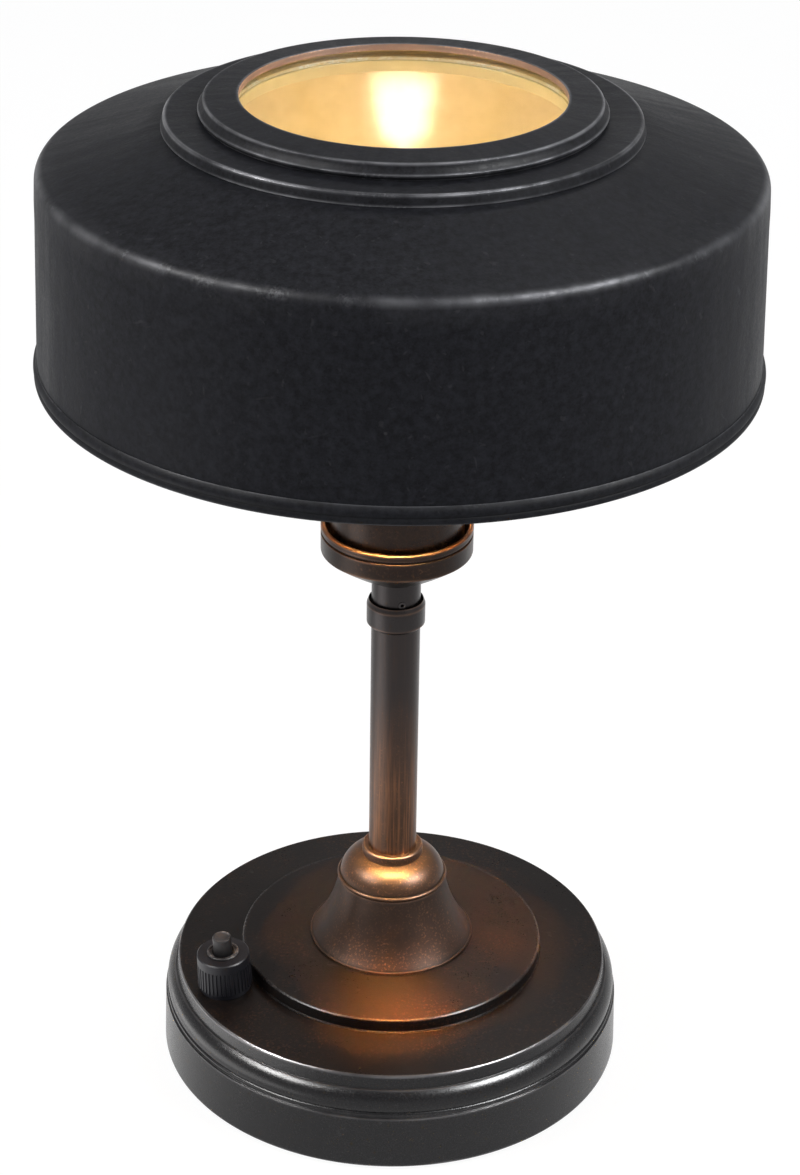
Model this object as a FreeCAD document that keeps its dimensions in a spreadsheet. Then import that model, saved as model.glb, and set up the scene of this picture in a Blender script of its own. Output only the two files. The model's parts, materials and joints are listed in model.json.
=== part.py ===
"""Table lamp: moulded base, stem, drum shade with a glass disc in its top.

Millimetres, +Z up, origin at the middle of the pad that the lamp rests on.
A threaded tube runs from the base to the lampholder and pulls the whole stem
together; the shade hangs on the lampholder by a three-armed spider.
"""
import FreeCAD, Part
import math
import os
import Sketcher
from FreeCAD import Placement, Rotation, Vector

doc = FreeCAD.newDocument("table_lamp")
sheet = doc.addObject("Spreadsheet::Sheet", "sizes")
pieces = []


# ---------------------------------------------------------------- sizes

class Size:
    """A length or an angle: its value now, and the sheet expression that gives it."""

    def __init__(self, value, text):
        self.value = float(value)
        self.text = text

    def join(self, other, sign, value):
        return Size(value, f"({self.text} {sign} {as_size(other).text})")

    def __add__(self, other):
        return self.join(other, "+", self.value + as_size(other).value)

    def __sub__(self, other):
        return self.join(other, "-", self.value - as_size(other).value)

    def __mul__(self, other):
        return self.join(other, "*", self.value * as_size(other).value)

    def __truediv__(self, other):
        return self.join(other, "/", self.value / as_size(other).value)

    def __neg__(self):
        return Size(-self.value, f"(0 - {self.text})")

    def __radd__(self, other):
        return as_size(other) + self

    def __rsub__(self, other):
        return as_size(other) - self

    def __rmul__(self, other):
        return as_size(other) * self


def as_size(item):
    """A plain number as a Size."""
    if isinstance(item, Size):
        return item
    return Size(item, repr(float(item)))


def cosine(angle):
    angle = as_size(angle)
    return Size(math.cos(math.radians(angle.value)), f"cos({angle.text})")


def sine(angle):
    angle = as_size(angle)
    return Size(math.sin(math.radians(angle.value)), f"sin({angle.text})")


def tangent(angle):
    return sine(angle) / cosine(angle)


def arc_tangent(rise, run):
    """The slope angle of a rise over a run, in degrees."""
    rise = as_size(rise)
    run = as_size(run)
    value = math.degrees(math.atan2(rise.value, run.value))
    return Size(value, f"(atan({rise.text} / {run.text}) / 1deg)")


def rounding(reach, turn):
    """How far a tangent arc stands off its chord, where it rounds a corner of a given turn."""
    return reach * cosine(turn / 2) * tangent(turn / 4)


def cap_of_ball(radius, height):
    """How far the arc of a ball's cap stands off its chord, from the cap's radius and height."""
    slope = arc_tangent(height, radius)
    return radius / cosine(slope) / 2 * tangent(slope / 2)


def size(alias, value, note):
    """Write one driving dimension into the sheet and return it."""
    size.row += 1
    sheet.set(f"A{size.row}", alias)
    sheet.set(f"B{size.row}", str(value))
    sheet.set(f"C{size.row}", note)
    sheet.setAlias(f"B{size.row}", alias)
    return Size(value, f"sizes.{alias}")


size.row = 0
ZERO = Size(0, "0")
VOLUME_MARGIN = 0.02

# Base
base_radius = size("base_radius", 107.0, "outer radius of the base at its foot")
base_draft = size("base_draft", 0.8, "how much the plain band leans in")
rim_gap = size("rim_gap", 1.0, "floor to the rim of the casting")
foot_round = size("foot_round", 0.8, "chamfer at the foot of the base")
band_height = size("band_height", 26.3, "plain band of the base")
groove_height = size("groove_height", 0.9, "fine groove above the band")
groove_depth = size("groove_depth", 0.9, "depth of the groove")
lip_height = size("lip_height", 1.7, "small lip above the groove")
lip_inset = size("lip_inset", 1.1, "lip behind the foot of the base")
lip_bulge = size("lip_bulge", 0.45, "rounding of the lip")
ovolo_height = size("ovolo_height", 9.6, "height of the round moulding")
ovolo_inset = size("ovolo_inset", 1.0, "foot of the round moulding behind the lip")
ovolo_bulge = size("ovolo_bulge", 1.7, "how far the moulding bulges off its chord")
ovolo_step = size("ovolo_step", 0.7, "step from the moulding back to the riser")
riser_height = size("riser_height", 6.8, "upright band under the top plate")
riser_draft = size("riser_draft", 1.2, "how much the riser leans in")
edge_round = size("edge_round", 0.6, "softened edge of the top plate")
plate_inset = size("plate_inset", 7.6, "edge of the top plate behind the foot of the base")
plate_crown = size("plate_crown", 1.5, "rise of the top plate towards the disc")
base_wall = size("base_wall", 6.0, "wall of the base casting at its foot")
plate_thickness = size("plate_thickness", 5.5, "top of the casting at the middle")
upper_wall = size("upper_wall", 5.0, "wall of the base casting under the riser")
boss_radius = size("boss_radius", 5.5, "bosses that the cover plate is screwed to")
boss_inset = size("boss_inset", 9.0, "middle of a boss inside the hollow of the casting")
boss_angle = size("boss_angle", 30.0, "direction of the first boss")

# Cover plate, pad, weight
pad_gap = size("pad_gap", 4.2, "felt pad to the heads of the cover screws")
pad_thickness = size("pad_thickness", 2.5, "felt pad")
cover_thickness = size("cover_thickness", 1.5, "steel cover plate")
cover_play = size("cover_play", 0.4, "gap round the cover plate")
weight_gap = size("weight_gap", 5.9, "iron weight to the spot face of the switch")
weight_thickness = size("weight_thickness", 15.0, "iron weight")

# Raised disc
ledge_width = size("ledge_width", 28.8, "top plate outside the raised disc, room for the switch")
disc_height = size("disc_height", 6.3, "raised disc at its edge")
disc_crown = size("disc_crown", 1.7, "rise of the disc towards the bell")
disc_foot = size("disc_foot", 0.8, "small step round the foot of the disc")
disc_foot_height = size("disc_foot_height", 0.5, "height of that step")

# Stem
tie_radius = size("tie_radius", 5.0, "threaded tie tube")
tie_bore = size("tie_bore", 3.9, "bore of the tie tube")
tie_play = size("tie_play", 0.25, "gap round the tie tube")
tie_below = size("tie_below", 3.0, "tie tube below its nut")
bell_radius = size("bell_radius", 37.8, "foot of the bell")
bell_lip = size("bell_lip", 1.2, "thin lip at the foot of the bell")
bell_step = size("bell_step", 0.9, "step from the lip to the bell")
bell_top_radius = size("bell_top_radius", 24.6, "top of the bell")
bell_height = size("bell_height", 31.4, "bell")
bell_hollow = size("bell_hollow", 1.9, "how far the bell is drawn in off its chord")
bell_wall = size("bell_wall", 3.0, "wall of the bell")
bead_overhang = size("bead_overhang", 1.3, "bead on top of the bell outside the dome")
bead_height = size("bead_height", 2.0, "bead on top of the bell")
dome_radius = size("dome_radius", 24.0, "foot of the dome")
dome_height = size("dome_height", 10.6, "dome")
dome_bulge = size("dome_bulge", 2.5, "how far the dome bulges off its chord")
ring_wall = size("ring_wall", 3.0, "ring round the foot of the stem, outside the stem")
ring_height = size("ring_height", 4.3, "ring round the foot of the stem")
ring_round = size("ring_round", 0.5, "chamfers of the ring")
stem_radius = size("stem_radius", 10.9, "stem and neck tubes")
stem_wall = size("stem_wall", 1.5, "wall of the stem and neck tubes")
stem_length = size("stem_length", 125.7, "stem tube")
seat_play = size("seat_play", 0.05, "gap between a tube and its collar, bush or ring")
collar_wall = size("collar_wall", 2.1, "collar between stem and neck, outside the stem")
collar_below = size("collar_below", 6.0, "collar below the joint of the tubes")
collar_above = size("collar_above", 7.0, "collar above the joint of the tubes")
collar_foot_chamfer = size("collar_foot_chamfer", 1.8, "lower chamfer of the collar")
collar_top_chamfer = size("collar_top_chamfer", 2.2, "upper chamfer of the collar, upright")
collar_mouth_wall = size("collar_mouth_wall", 0.9, "wall of the collar at its open mouth")
collar_mouth_depth = size("collar_mouth_depth", 3.0, "depth of the open mouth")
neck_length = size("neck_length", 18.0, "neck tube")
grub_radius = size("grub_radius", 1.6, "grub screw in the neck")
grub_length = size("grub_length", 4.6, "grub screw in the neck")
grub_height = size("grub_height", 8.6, "grub screw above the joint of the tubes")
grub_angle = size("grub_angle", -76.0, "direction of the grub screw")
grub_proud = size("grub_proud", 0.25, "grub screw outside the neck")

# Cup and sleeve
cup_radius = size("cup_radius", 33.4, "rim of the cup")
cup_foot_radius = size("cup_foot_radius", 12.0, "foot of the cup")
cup_bowl_height = size("cup_bowl_height", 14.0, "sloping lower part of the cup")
cup_bulge = size("cup_bulge", 0.4, "how far the sloping part bulges off its chord")
cup_side_height = size("cup_side_height", 8.2, "upright side of the cup up to its groove")
cup_groove_height = size("cup_groove_height", 1.2, "groove under the rim")
cup_groove_depth = size("cup_groove_depth", 0.8, "groove under the rim")
cup_rim_height = size("cup_rim_height", 2.9, "rim above the groove")
cup_rim_round = size("cup_rim_round", 0.6, "softened edges of the rim")
cup_wall = size("cup_wall", 2.0, "wall of the cup at its rim")
cup_floor = size("cup_floor", 3.0, "floor of the cup")
cup_shelf = size("cup_shelf", 14.4, "shelf for the sleeve above the foot of the cup")
cup_shelf_width = size("cup_shelf_width", 4.0, "width of the shelf")
cup_shelf_height = size("cup_shelf_height", 2.0, "thickness of the shelf at its inner edge")
sleeve_gap = size("sleeve_gap", 2.0, "gap between the sleeve and the wall of the cup")
sleeve_wall = size("sleeve_wall", 1.2, "wall of the sleeve")
sleeve_height = size("sleeve_height", 38.2, "sleeve round the lampholder")

# Lampholder
holder_gap = size("holder_gap", 2.0, "cup nut to the lampholder")
holder_radius = size("holder_radius", 20.0, "lower part of the lampholder")
holder_cap_height = size("holder_cap_height", 20.0, "lower part of the lampholder")
holder_floor = size("holder_floor", 4.0, "floor of the lampholder")
holder_wall = size("holder_wall", 2.5, "wall of the lampholder")
insert_ledge = size("insert_ledge", 2.0, "ledge that carries the insert")
insert_height = size("insert_height", 14.0, "ceramic insert")
insert_play = size("insert_play", 0.15, "gap round the insert")
skirt_play = size("skirt_play", 0.2, "skirt of the lampholder inside its lower part")
skirt_height = size("skirt_height", 38.0, "skirt of the lampholder")
skirt_flange = size("skirt_flange", 3.0, "flange that the sleeve hangs on")
skirt_flange_height = size("skirt_flange_height", 2.0, "flange that the sleeve hangs on")
thread_play = size("thread_play", 0.1, "gap round the skirt in what it passes")
shell_bore = size("shell_bore", 13.5, "screw shell of the lampholder, inside")
shell_wall = size("shell_wall", 0.6, "screw shell of the lampholder")
shell_height = size("shell_height", 26.0, "screw shell of the lampholder")
contact_radius = size("contact_radius", 4.0, "centre contact")
contact_height = size("contact_height", 3.0, "centre contact")
contact_gap = size("contact_gap", 2.0, "centre contact to the screw shell")
shade_ring_wall = size("shade_ring_wall", 5.1, "width of the ring nut that holds the spider")
shade_ring_height = size("shade_ring_height", 5.0, "ring nut that holds the spider")

# Shade
hem_overhang = size("hem_overhang", 1.8, "widest part of the hem band outside the wall")
hem_level = size("hem_level", 344.8, "floor to the foot of the shade")
hem_height = size("hem_height", 7.8, "hem band")
hem_wall = size("hem_wall", 3.5, "hem band, inside to outside")
hem_shoulder = size("hem_shoulder", 1.6, "slope of the hem band up to the wall")
hem_crease = size("hem_crease", 0.8, "depth of the crease in the hem band")
hem_crease_level = size("hem_crease_level", 2.8, "crease above the foot of the band")
hem_seat = size("hem_seat", 4.0, "seat of the shell above the foot of the band")
shade_radius = size("shade_radius", 149.8, "corner of the shade")
shade_flare = size("shade_flare", 2.5, "how much the wall widens from its corner to the hem")
shade_wall_height = size("shade_wall_height", 89.5, "foot of the shade to its corner")
shade_round = size("shade_round", 4.0, "rounding of the corner")
shade_cone_rise = size("shade_cone_rise", 16.3, "corner of the shade to the flange")
shade_sheet = size("shade_sheet", 1.0, "sheet of the shade")
shade_opening_step = size("shade_opening_step", 3.0, "hole in the top of the shade outside the flange's bore")
band_play = size("band_play", 0.1, "gap between hem band and shell")

# Cap of the shade
flange_ledge = size("flange_ledge", 15.1, "foot of the flange outside the bezel")
flange_draft = size("flange_draft", 1.1, "how much the side of the flange leans in")
flange_height = size("flange_height", 5.0, "flange")
flange_round = size("flange_round", 0.6, "softened edge of the flange")
glass_seat = size("glass_seat", 5.0, "rim of the glass that rests on the flange")
bezel_rim = size("bezel_rim", 10.4, "widest part of the bezel outside the glass")
bezel_foot = size("bezel_foot", 0.9, "bezel foot behind its widest part")
bezel_foot_height = size("bezel_foot_height", 2.3, "widest part of the bezel above the flange")
bezel_draft = size("bezel_draft", 2.2, "how much the side of the bezel leans in")
bezel_side_height = size("bezel_side_height", 4.2, "side of the bezel above its widest part")
bezel_crown = size("bezel_crown", 1.3, "rise of the bezel's face towards the glass")
bezel_cover = size("bezel_cover", 6.3, "rim of the glass under the bezel")
bezel_hollow = size("bezel_hollow", 0.35, "how far the bezel's side is drawn in")
glass_radius = size("glass_radius", 73.0, "glass disc")
glass_thickness = size("glass_thickness", 3.4, "glass disc")
glass_play = size("glass_play", 0.4, "gap round the glass")
gasket_thickness = size("gasket_thickness", 1.4, "seal under the glass")
gasket_inset = size("gasket_inset", 1.0, "seal behind the inside of the flange")
cap_screw_inset = size("cap_screw_inset", 5.2, "cap screws inside the widest part of the bezel")
cap_screw_count = 4
cap_screw_radius = size("cap_screw_radius", 1.5, "cap screws")
cap_screw_reach = size("cap_screw_reach", 4.4, "cap screws inside the bezel")
cap_head_radius = size("cap_head_radius", 2.8, "heads of the cap screws")
cap_head_height = size("cap_head_height", 2.2, "heads of the cap screws")
screw_play = size("screw_play", 0.15, "gap round a screw")

# Spider
spider_arms = 3
hub_overhang = size("hub_overhang", 0.6, "hub of the spider outside the sleeve")
hub_thickness = size("hub_thickness", 2.5, "hub and arms of the spider")
arm_width = size("arm_width", 12.0, "arms of the spider")
arm_shelf = size("arm_shelf", 4.0, "hub to the bend of the arm")
arm_foot_level = size("arm_foot_level", 12.0, "bend of the arm above the foot of the shade")
arm_foot_height = size("arm_foot_height", 16.0, "upright foot of the arm")
arm_gap = size("arm_gap", 0.3, "foot of the arm to the wall")
stud_radius = size("stud_radius", 2.0, "welded studs that hold the spider")
stud_height = size("stud_height", 8.8, "studs above the lower end of the arm's foot")
stud_head_radius = size("stud_head_radius", 3.2, "weld heads of the studs")
stud_length = size("stud_length", 7.5, "welded studs")
stud_nut_flats = size("stud_nut_flats", 7.0, "nuts on the studs")
stud_nut_height = size("stud_nut_height", 3.2, "nuts on the studs")

# Switch
switch_inset = size("switch_inset", 15.8, "middle of the switch inside the edge of the top plate")
switch_angle = size("switch_angle", 204.7, "direction of the switch")
switch_plate = size("switch_plate", 4.0, "top plate at the switch, spot-faced below")
spot_face = size("spot_face", 1.2, "spot face round the switch body")
switch_washer_radius = size("switch_washer_radius", 11.7, "washer under the fluted cap")
switch_washer_height = size("switch_washer_height", 2.8, "washer under the fluted cap")
switch_cap_radius = size("switch_cap_radius", 12.6, "fluted cap")
switch_cap_taper = size("switch_cap_taper", 0.6, "how much the cap narrows upwards")
switch_cap_height = size("switch_cap_height", 16.2, "fluted cap")
switch_cap_edge = size("switch_cap_edge", 0.5, "chamfer round the top of the cap")
flute_height = size("flute_height", 11.6, "flutes of the cap")
flute_radius = size("flute_radius", 0.55, "flutes of the cap")
flute_count = 40
bushing_wall = size("bushing_wall", 1.64, "threaded bushing of the switch, wall round the button")
bushing_proud = size("bushing_proud", 0.5, "bushing above the cap")
bushing_mouth_wall = size("bushing_mouth_wall", 0.7, "wall of the bushing at its wide mouth")
bushing_mouth_depth = size("bushing_mouth_depth", 1.1, "depth of that mouth")
bushing_below = size("bushing_below", 4.0, "bushing inside the switch body")
switch_nut_wall = size("switch_nut_wall", 1.3, "width of the ring nut on the bushing")
switch_nut_height = size("switch_nut_height", 1.0, "ring nut on the bushing")
switch_nut_edge = size("switch_nut_edge", 0.4, "chamfer of the ring nut")
plunger_radius = size("plunger_radius", 4.3, "push button")
plunger_play = size("plunger_play", 0.06, "running gap round the push button")
plunger_proud = size("plunger_proud", 8.7, "push button above the cap")
plunger_dish = size("plunger_dish", 1.1, "dish in the top of the button")
plunger_rim = size("plunger_rim", 0.7, "rim round the dish")
plunger_flange = size("plunger_flange", 2.0, "flange that stops the button")
plunger_rest_gap = size("plunger_rest_gap", 0.05, "flange to bushing at rest")
plunger_flange_play = size("plunger_flange_play", 0.6, "flange to the wall of the chamber")
switch_body_wall = size("switch_body_wall", 3.5, "wall of the switch body under the base")
switch_body_height = size("switch_body_height", 22.0, "switch body under the base")
switch_chamber_step = size("switch_chamber_step", 1.0, "chamber for the spring outside the bushing")
switch_floor = size("switch_floor", 3.0, "floor of the switch body")
spring_wire = size("spring_wire", 0.35, "radius of the spring wire")
spring_radius = size("spring_radius", 4.6, "spring, to the middle of the wire")
spring_turns = 5
ARCS_PER_TURN = 8
ARC_SHARE = 0.97  # arcs a little tighter than the helix, so that short straight runs stay between them
terminal_height = size("terminal_height", 5.0, "tabs under the switch body")
terminal_width = size("terminal_width", 4.0, "tabs under the switch body")
terminal_sheet = size("terminal_sheet", 0.8, "tabs under the switch body")
terminal_offset = size("terminal_offset", 4.5, "tabs from the middle of the switch")

# Cord inlet and wiring
inlet_level = size("inlet_level", 14.0, "floor to the middle of the cord inlet")
inlet_radius = size("inlet_radius", 4.9, "grommet where it passes the wall")
inlet_bore = size("inlet_bore", 3.3, "bore of the grommet")
inlet_flange = size("inlet_flange", 7.0, "outer flange of the grommet")
inlet_flange_height = size("inlet_flange_height", 2.0, "flanges of the grommet")
inlet_spot = size("inlet_spot", 1.8, "spot face for the grommet")
inlet_play = size("inlet_play", 0.1, "gap round the grommet")
block_length = size("block_length", 26.0, "terminal block")
block_width = size("block_width", 16.0, "terminal block")
block_height = size("block_height", 13.0, "terminal block")
block_inset = size("block_inset", 45.0, "middle of the terminal block inside the foot of the base")
block_pitch = size("block_pitch", 8.0, "ways of the terminal block")
block_screw_radius = size("block_screw_radius", 1.8, "screws of the terminal block")
block_screw_height = size("block_screw_height", 2.0, "screw heads of the terminal block")
lead_radius = size("lead_radius", 1.1, "insulated lead")
lead_spacing = size("lead_spacing", 1.3, "lead from the middle of the tie tube")
lead_level = size("lead_level", 7.5, "floor to the leads in the base")
lead_bend = size("lead_bend", 9.0, "bend of the leads up into the tie tube")
lead_wide_bend = size("lead_wide_bend", 25.0, "bends of the leads across the base")
lead_tab_bend = size("lead_tab_bend", 6.5, "bend of the leads up to the switch")
lead_run = size("lead_run", 21.0, "straight run of the leads before they turn up")
lead_side_x = size("lead_side_x", 36.0, "switch leads to the side of the terminal block")
lead_turn_x = size("lead_turn_x", 66.0, "switch leads beside the stem, before the switch")
lead_turn_y = size("lead_turn_y", 18.0, "switch leads behind the stem, before the switch")

# Fasteners
nut_flats = size("nut_flats", 17.0, "nuts on the tie tube")
nut_height = size("nut_height", 5.0, "nuts on the tie tube")
cup_nut_height = size("cup_nut_height", 4.0, "nut inside the cup")
washer_radius = size("washer_radius", 15.0, "washer under the weight")
washer_thickness = size("washer_thickness", 2.0, "washer under the weight")
cover_screw_radius = size("cover_screw_radius", 2.0, "screws of the cover plate")
cover_screw_length = size("cover_screw_length", 12.0, "screws of the cover plate")
cover_head_radius = size("cover_head_radius", 3.8, "heads of those screws")
cover_head_height = size("cover_head_height", 1.8, "heads of those screws")

# Bulb
bulb_play = size("bulb_play", 0.4, "gap between the screw cap of the bulb and the screw shell")
bulb_thread_depth = size("bulb_thread_depth", 0.9, "thread of the screw cap")
bulb_pitch = size("bulb_pitch", 3.6, "thread of the screw cap")
bulb_threads = 5
bulb_insulator_height = size("bulb_insulator_height", 3.0, "glass under the screw cap")
bulb_tip_radius = size("bulb_tip_radius", 4.6, "contact of the bulb")
bulb_tip_height = size("bulb_tip_height", 1.2, "contact of the bulb")
bulb_collar = size("bulb_collar", 6.0, "plain top of the screw cap")
bulb_neck_radius = size("bulb_neck_radius", 13.6, "neck of the bulb")
bulb_neck_height = size("bulb_neck_height", 9.0, "neck of the bulb")
bulb_flare_height = size("bulb_flare_height", 40.0, "neck to the widest part of the bulb")
bulb_flare_bulge = size("bulb_flare_bulge", 1.2, "how far the flare is drawn in")
bulb_radius = size("bulb_radius", 29.5, "widest part of the bulb")
bulb_crown_height = size("bulb_crown_height", 27.0, "widest part to the top of the bulb")
bulb_glass = size("bulb_glass", 0.9, "glass of the bulb")
mount_radius = size("mount_radius", 8.5, "foot of the glass mount in the bulb")
mount_height = size("mount_height", 12.0, "foot of the glass mount in the bulb")
mount_rod_radius = size("mount_rod_radius", 1.8, "rod of the glass mount")
mount_rod_height = size("mount_rod_height", 51.0, "rod of the glass mount")
strip_drop = size("strip_drop", 1.6, "tops of the light strips below the top of the rod")
strip_wire = size("strip_wire", 0.4, "radius of the wires that hold the light strips")
filament_radius = size("filament_radius", 0.9, "light strips")
filament_length = size("filament_length", 34.0, "light strips")
filament_foot = size("filament_foot", 8.0, "light strips from the axis, below")
filament_lean = size("filament_lean", 6.0, "lean of the light strips")
filament_count = 6
doc.recompute()


# ---------------------------------------------------------------- building blocks

def keep(piece, label):
    """Give a finished piece its node name and put it on the list to write."""
    piece.Label = label
    pieces.append(piece)
    return piece


def bind(item, values):
    """Tie properties of an object to sheet expressions."""
    for name, value in values.items():
        item.setExpression(name, as_size(value).text)
    return item


def place(item, x=ZERO, y=ZERO, z=ZERO, turn=ZERO, tip=ZERO, roll=ZERO):
    """Placement from three lengths and the yaw, pitch and roll angles."""
    spot = "; ".join(as_size(v).text for v in (x, y, z))
    angles = "; ".join(as_size(v).text for v in (turn, tip, roll))
    item.setExpression("Placement", f"placement(vector({spot}); rotation({angles}))")
    return item


def pin_vertex(sketch, geometry, vertex, x, y):
    """Hold one sketch vertex at a place given by two sizes."""
    for kind, axis, value in (("DistanceX", -2, x), ("DistanceY", -1, y)):
        if value.text == ZERO.text:
            sketch.addConstraint(Sketcher.Constraint("PointOnObject", geometry, vertex, axis))
            continue
        rule = Sketcher.Constraint(kind, -1, 1, geometry, vertex, value.value)
        number = sketch.addConstraint(rule)
        sketch.setExpression(f"Constraints[{number}]", value.text)


def arc_radius(start, end, bulge):
    """Radius of the arc that stands off its chord by a bulge."""
    run = end[0] - start[0]
    rise = end[1] - start[1]
    quarter = (run * run + rise * rise) / 4
    return (quarter + bulge * bulge) / (2 * bulge)


def add_edge(sketch, start, end, bulge):
    """One line or arc of a profile; returns its index and its two vertex numbers."""
    first = Vector(start[0].value, start[1].value, 0)
    last = Vector(end[0].value, end[1].value, 0)
    if bulge is None:
        return sketch.addGeometry(Part.LineSegment(first, last), False), 1, 2
    chord = last - first
    outward = Vector(chord.y, -chord.x, 0).normalize()
    middle = (first + last) * 0.5 + outward * bulge.value
    if bulge.value > 0:
        edge = sketch.addGeometry(Part.Arc(first, middle, last), False)
        return edge, 1, 2
    edge = sketch.addGeometry(Part.Arc(last, middle, first), False)
    return edge, 2, 1


def draw_profile(sketch, profile):
    """Closed outline, anticlockwise, as (x, y) or (x, y, bulge of the edge that follows).

    A bulge above zero stands out of the outline, one below zero is drawn into it.
    """
    corners = [(as_size(p[0]), as_size(p[1])) for p in profile]
    edges = []
    for index, start in enumerate(corners):
        end = corners[(index + 1) % len(corners)]
        bulge = profile[index][2] if len(profile[index]) > 2 else None
        edges.append(add_edge(sketch, start, end, bulge))
        if bulge is not None:
            outward = bulge if bulge.value > 0 else -bulge
            radius = arc_radius(start, end, outward)
            rule = Sketcher.Constraint("Radius", edges[-1][0], radius.value)
            number = sketch.addConstraint(rule)
            sketch.setExpression(f"Constraints[{number}]", radius.text)
    for index, (edge, begin, _) in enumerate(edges):
        before, _, finish = edges[index - 1]
        sketch.addConstraint(Sketcher.Constraint("Coincident", before, finish, edge, begin))
        pin_vertex(sketch, edge, begin, *corners[index])


def sketch_on(body, role, name):
    """A sketch on one of the origin planes of its own body."""
    sketch = body.newObject("Sketcher::SketchObject", name)
    plane = [item for item in body.Origin.OriginFeatures if item.Role == role][0]
    sketch.AttachmentSupport = [(plane, "")]
    sketch.MapMode = "FlatFace"
    return sketch


def turned(name, profile):
    """A body turned about Z from its half section, given as (radius, height)."""
    body = doc.addObject("PartDesign::Body", name)
    sketch = sketch_on(body, "XZ_Plane", name + "_section")
    draw_profile(sketch, profile)
    turn = body.newObject("PartDesign::Revolution", name + "_turn")
    turn.Profile = sketch
    turn.ReferenceAxis = (sketch, ["V_Axis"])
    turn.Angle = 360
    body.Tip = turn
    return body


def ring(name, inner, outer, low, high):
    """A plain turned ring or tube."""
    return turned(name, [(inner, low), (outer, low), (outer, high), (inner, high)])


def rod(name, radius, height):
    """A cylinder that stands on the origin until it is placed."""
    item = doc.addObject("Part::Cylinder", name)
    return bind(item, {"Radius": radius, "Height": height})


def box(name, length, width, height):
    """A box with its corner at the origin until it is placed."""
    item = doc.addObject("Part::Box", name)
    return bind(item, {"Length": length, "Width": width, "Height": height})


def cut(name, blank, tools):
    """The blank less one or more tools."""
    item = doc.addObject("Part::Cut", name)
    item.Base = blank
    item.Tool = tools[0] if len(tools) == 1 else joined(name + "_tools", tools)
    return item


def joined(name, items):
    item = doc.addObject("Part::MultiFuse", name)
    item.Shapes = items
    return item


def group(name, items):
    """Separate solids that share one node."""
    item = doc.addObject("Part::Compound", name)
    item.Links = items
    return item


def around(count, first, pattern, make):
    """Call make(index, angle) for evenly spaced directions and collect the objects."""
    return [make(f"{pattern}_{index + 1}", first + index * 360.0 / count) for index in range(count)]


def polar(radius, angle):
    return radius * cosine(angle), radius * sine(angle)


def hex_nut(name, flats, height, hole, z):
    """A hexagon nut on the axis, its lower face at z."""
    blank = doc.addObject("Part::Prism", name + "_blank")
    blank.Polygon = 6
    bind(blank, {"Circumradius": flats / 2 / cosine(30), "Height": height})
    return place(cut(name, blank, [rod(name + "_hole", hole, height)]), z=z)


def rounded_path(points, bends):
    """Straight runs joined by tangent arcs, one radius for each inner point."""
    edges = []
    start = points[0]
    for before, corner, after, bend in zip(points, points[1:], points[2:], bends):
        into = (corner - before).normalize()
        out = (after - corner).normalize()
        half_turn = into.getAngle(out) / 2
        reach = bend * math.tan(half_turn)
        middle = corner + (out - into).normalize() * (bend / math.cos(half_turn) - bend)
        arc_end = corner + out * reach
        edges.append(Part.LineSegment(start, corner - into * reach).toShape())
        edges.append(Part.Arc(corner - into * reach, middle, arc_end).toShape())
        start = arc_end
    edges.append(Part.LineSegment(start, points[-1]).toShape())
    return Part.Wire(edges)


def tube_along(points, bends, radius):
    """A round solid wire along a rounded path, its volume compared with its section and length."""
    path = rounded_path(points, bends)
    heading = (points[1] - points[0]).normalize()
    section = Part.Wire(Part.Circle(points[0], heading, radius).toShape())
    tube = path.makePipeShell([section], True, False)
    expected = math.pi * radius ** 2 * path.Length
    if abs(tube.Volume - expected) > VOLUME_MARGIN * expected:
        raise ValueError("a wire does not have the volume of its path")
    return tube


# ---------------------------------------------------------------- radii worked out from the sizes

plate_radius = base_radius - plate_inset
disc_radius = plate_radius - ledge_width - disc_foot
crown_start = disc_radius + disc_foot
crown_slope = plate_crown / (plate_radius - crown_start)
crown_angle = arc_tangent(plate_crown, plate_radius - crown_start)
cavity_radius = base_radius - base_wall
boss_circle = cavity_radius - boss_inset
pad_radius = boss_circle - cover_head_radius - pad_gap
block_offset = base_radius - block_inset

bushing_radius = plunger_radius + plunger_play + bushing_wall
bushing_mouth = bushing_radius - bushing_mouth_wall
switch_nut_radius = bushing_radius + switch_nut_wall
switch_chamber = bushing_radius + switch_chamber_step
switch_body_radius = switch_chamber + switch_body_wall
switch_circle = plate_radius - switch_inset
weight_radius = switch_circle - switch_body_radius - spot_face - weight_gap

tie_hole = tie_radius + tie_play
bead_radius = dome_radius + bead_overhang
ring_radius = stem_radius + ring_wall
collar_radius = stem_radius + collar_wall
sleeve_radius = cup_radius - cup_wall - sleeve_gap
skirt_radius = holder_radius - skirt_play
skirt_hole = skirt_radius + thread_play
shade_ring_radius = skirt_hole + shade_ring_wall
hub_radius = sleeve_radius + hub_overhang
arm_root = hub_radius + arm_shelf
bulb_cap_radius = shell_bore - bulb_play

shade_foot_radius = shade_radius + shade_flare
hem_radius = shade_foot_radius + hem_overhang
bezel_radius = glass_radius + bezel_rim
bezel_top_radius = bezel_radius - bezel_draft
bezel_opening = glass_radius - bezel_cover
cap_screw_circle = bezel_radius - cap_screw_inset
flange_radius = bezel_radius + flange_ledge
flange_bore = glass_radius - glass_seat
shade_opening = flange_bore + shade_opening_step


# ---------------------------------------------------------------- levels worked out from the sizes

band_top = rim_gap + band_height
groove_top = band_top + groove_height
lip_top = groove_top + lip_height
ovolo_top = lip_top + ovolo_height
plate_edge = ovolo_top + riser_height
base_top = plate_edge + plate_crown
base_underside = base_top - plate_thickness
cover_top = pad_thickness + cover_thickness
switch_level = plate_edge + (plate_radius - switch_circle) * crown_slope

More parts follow.
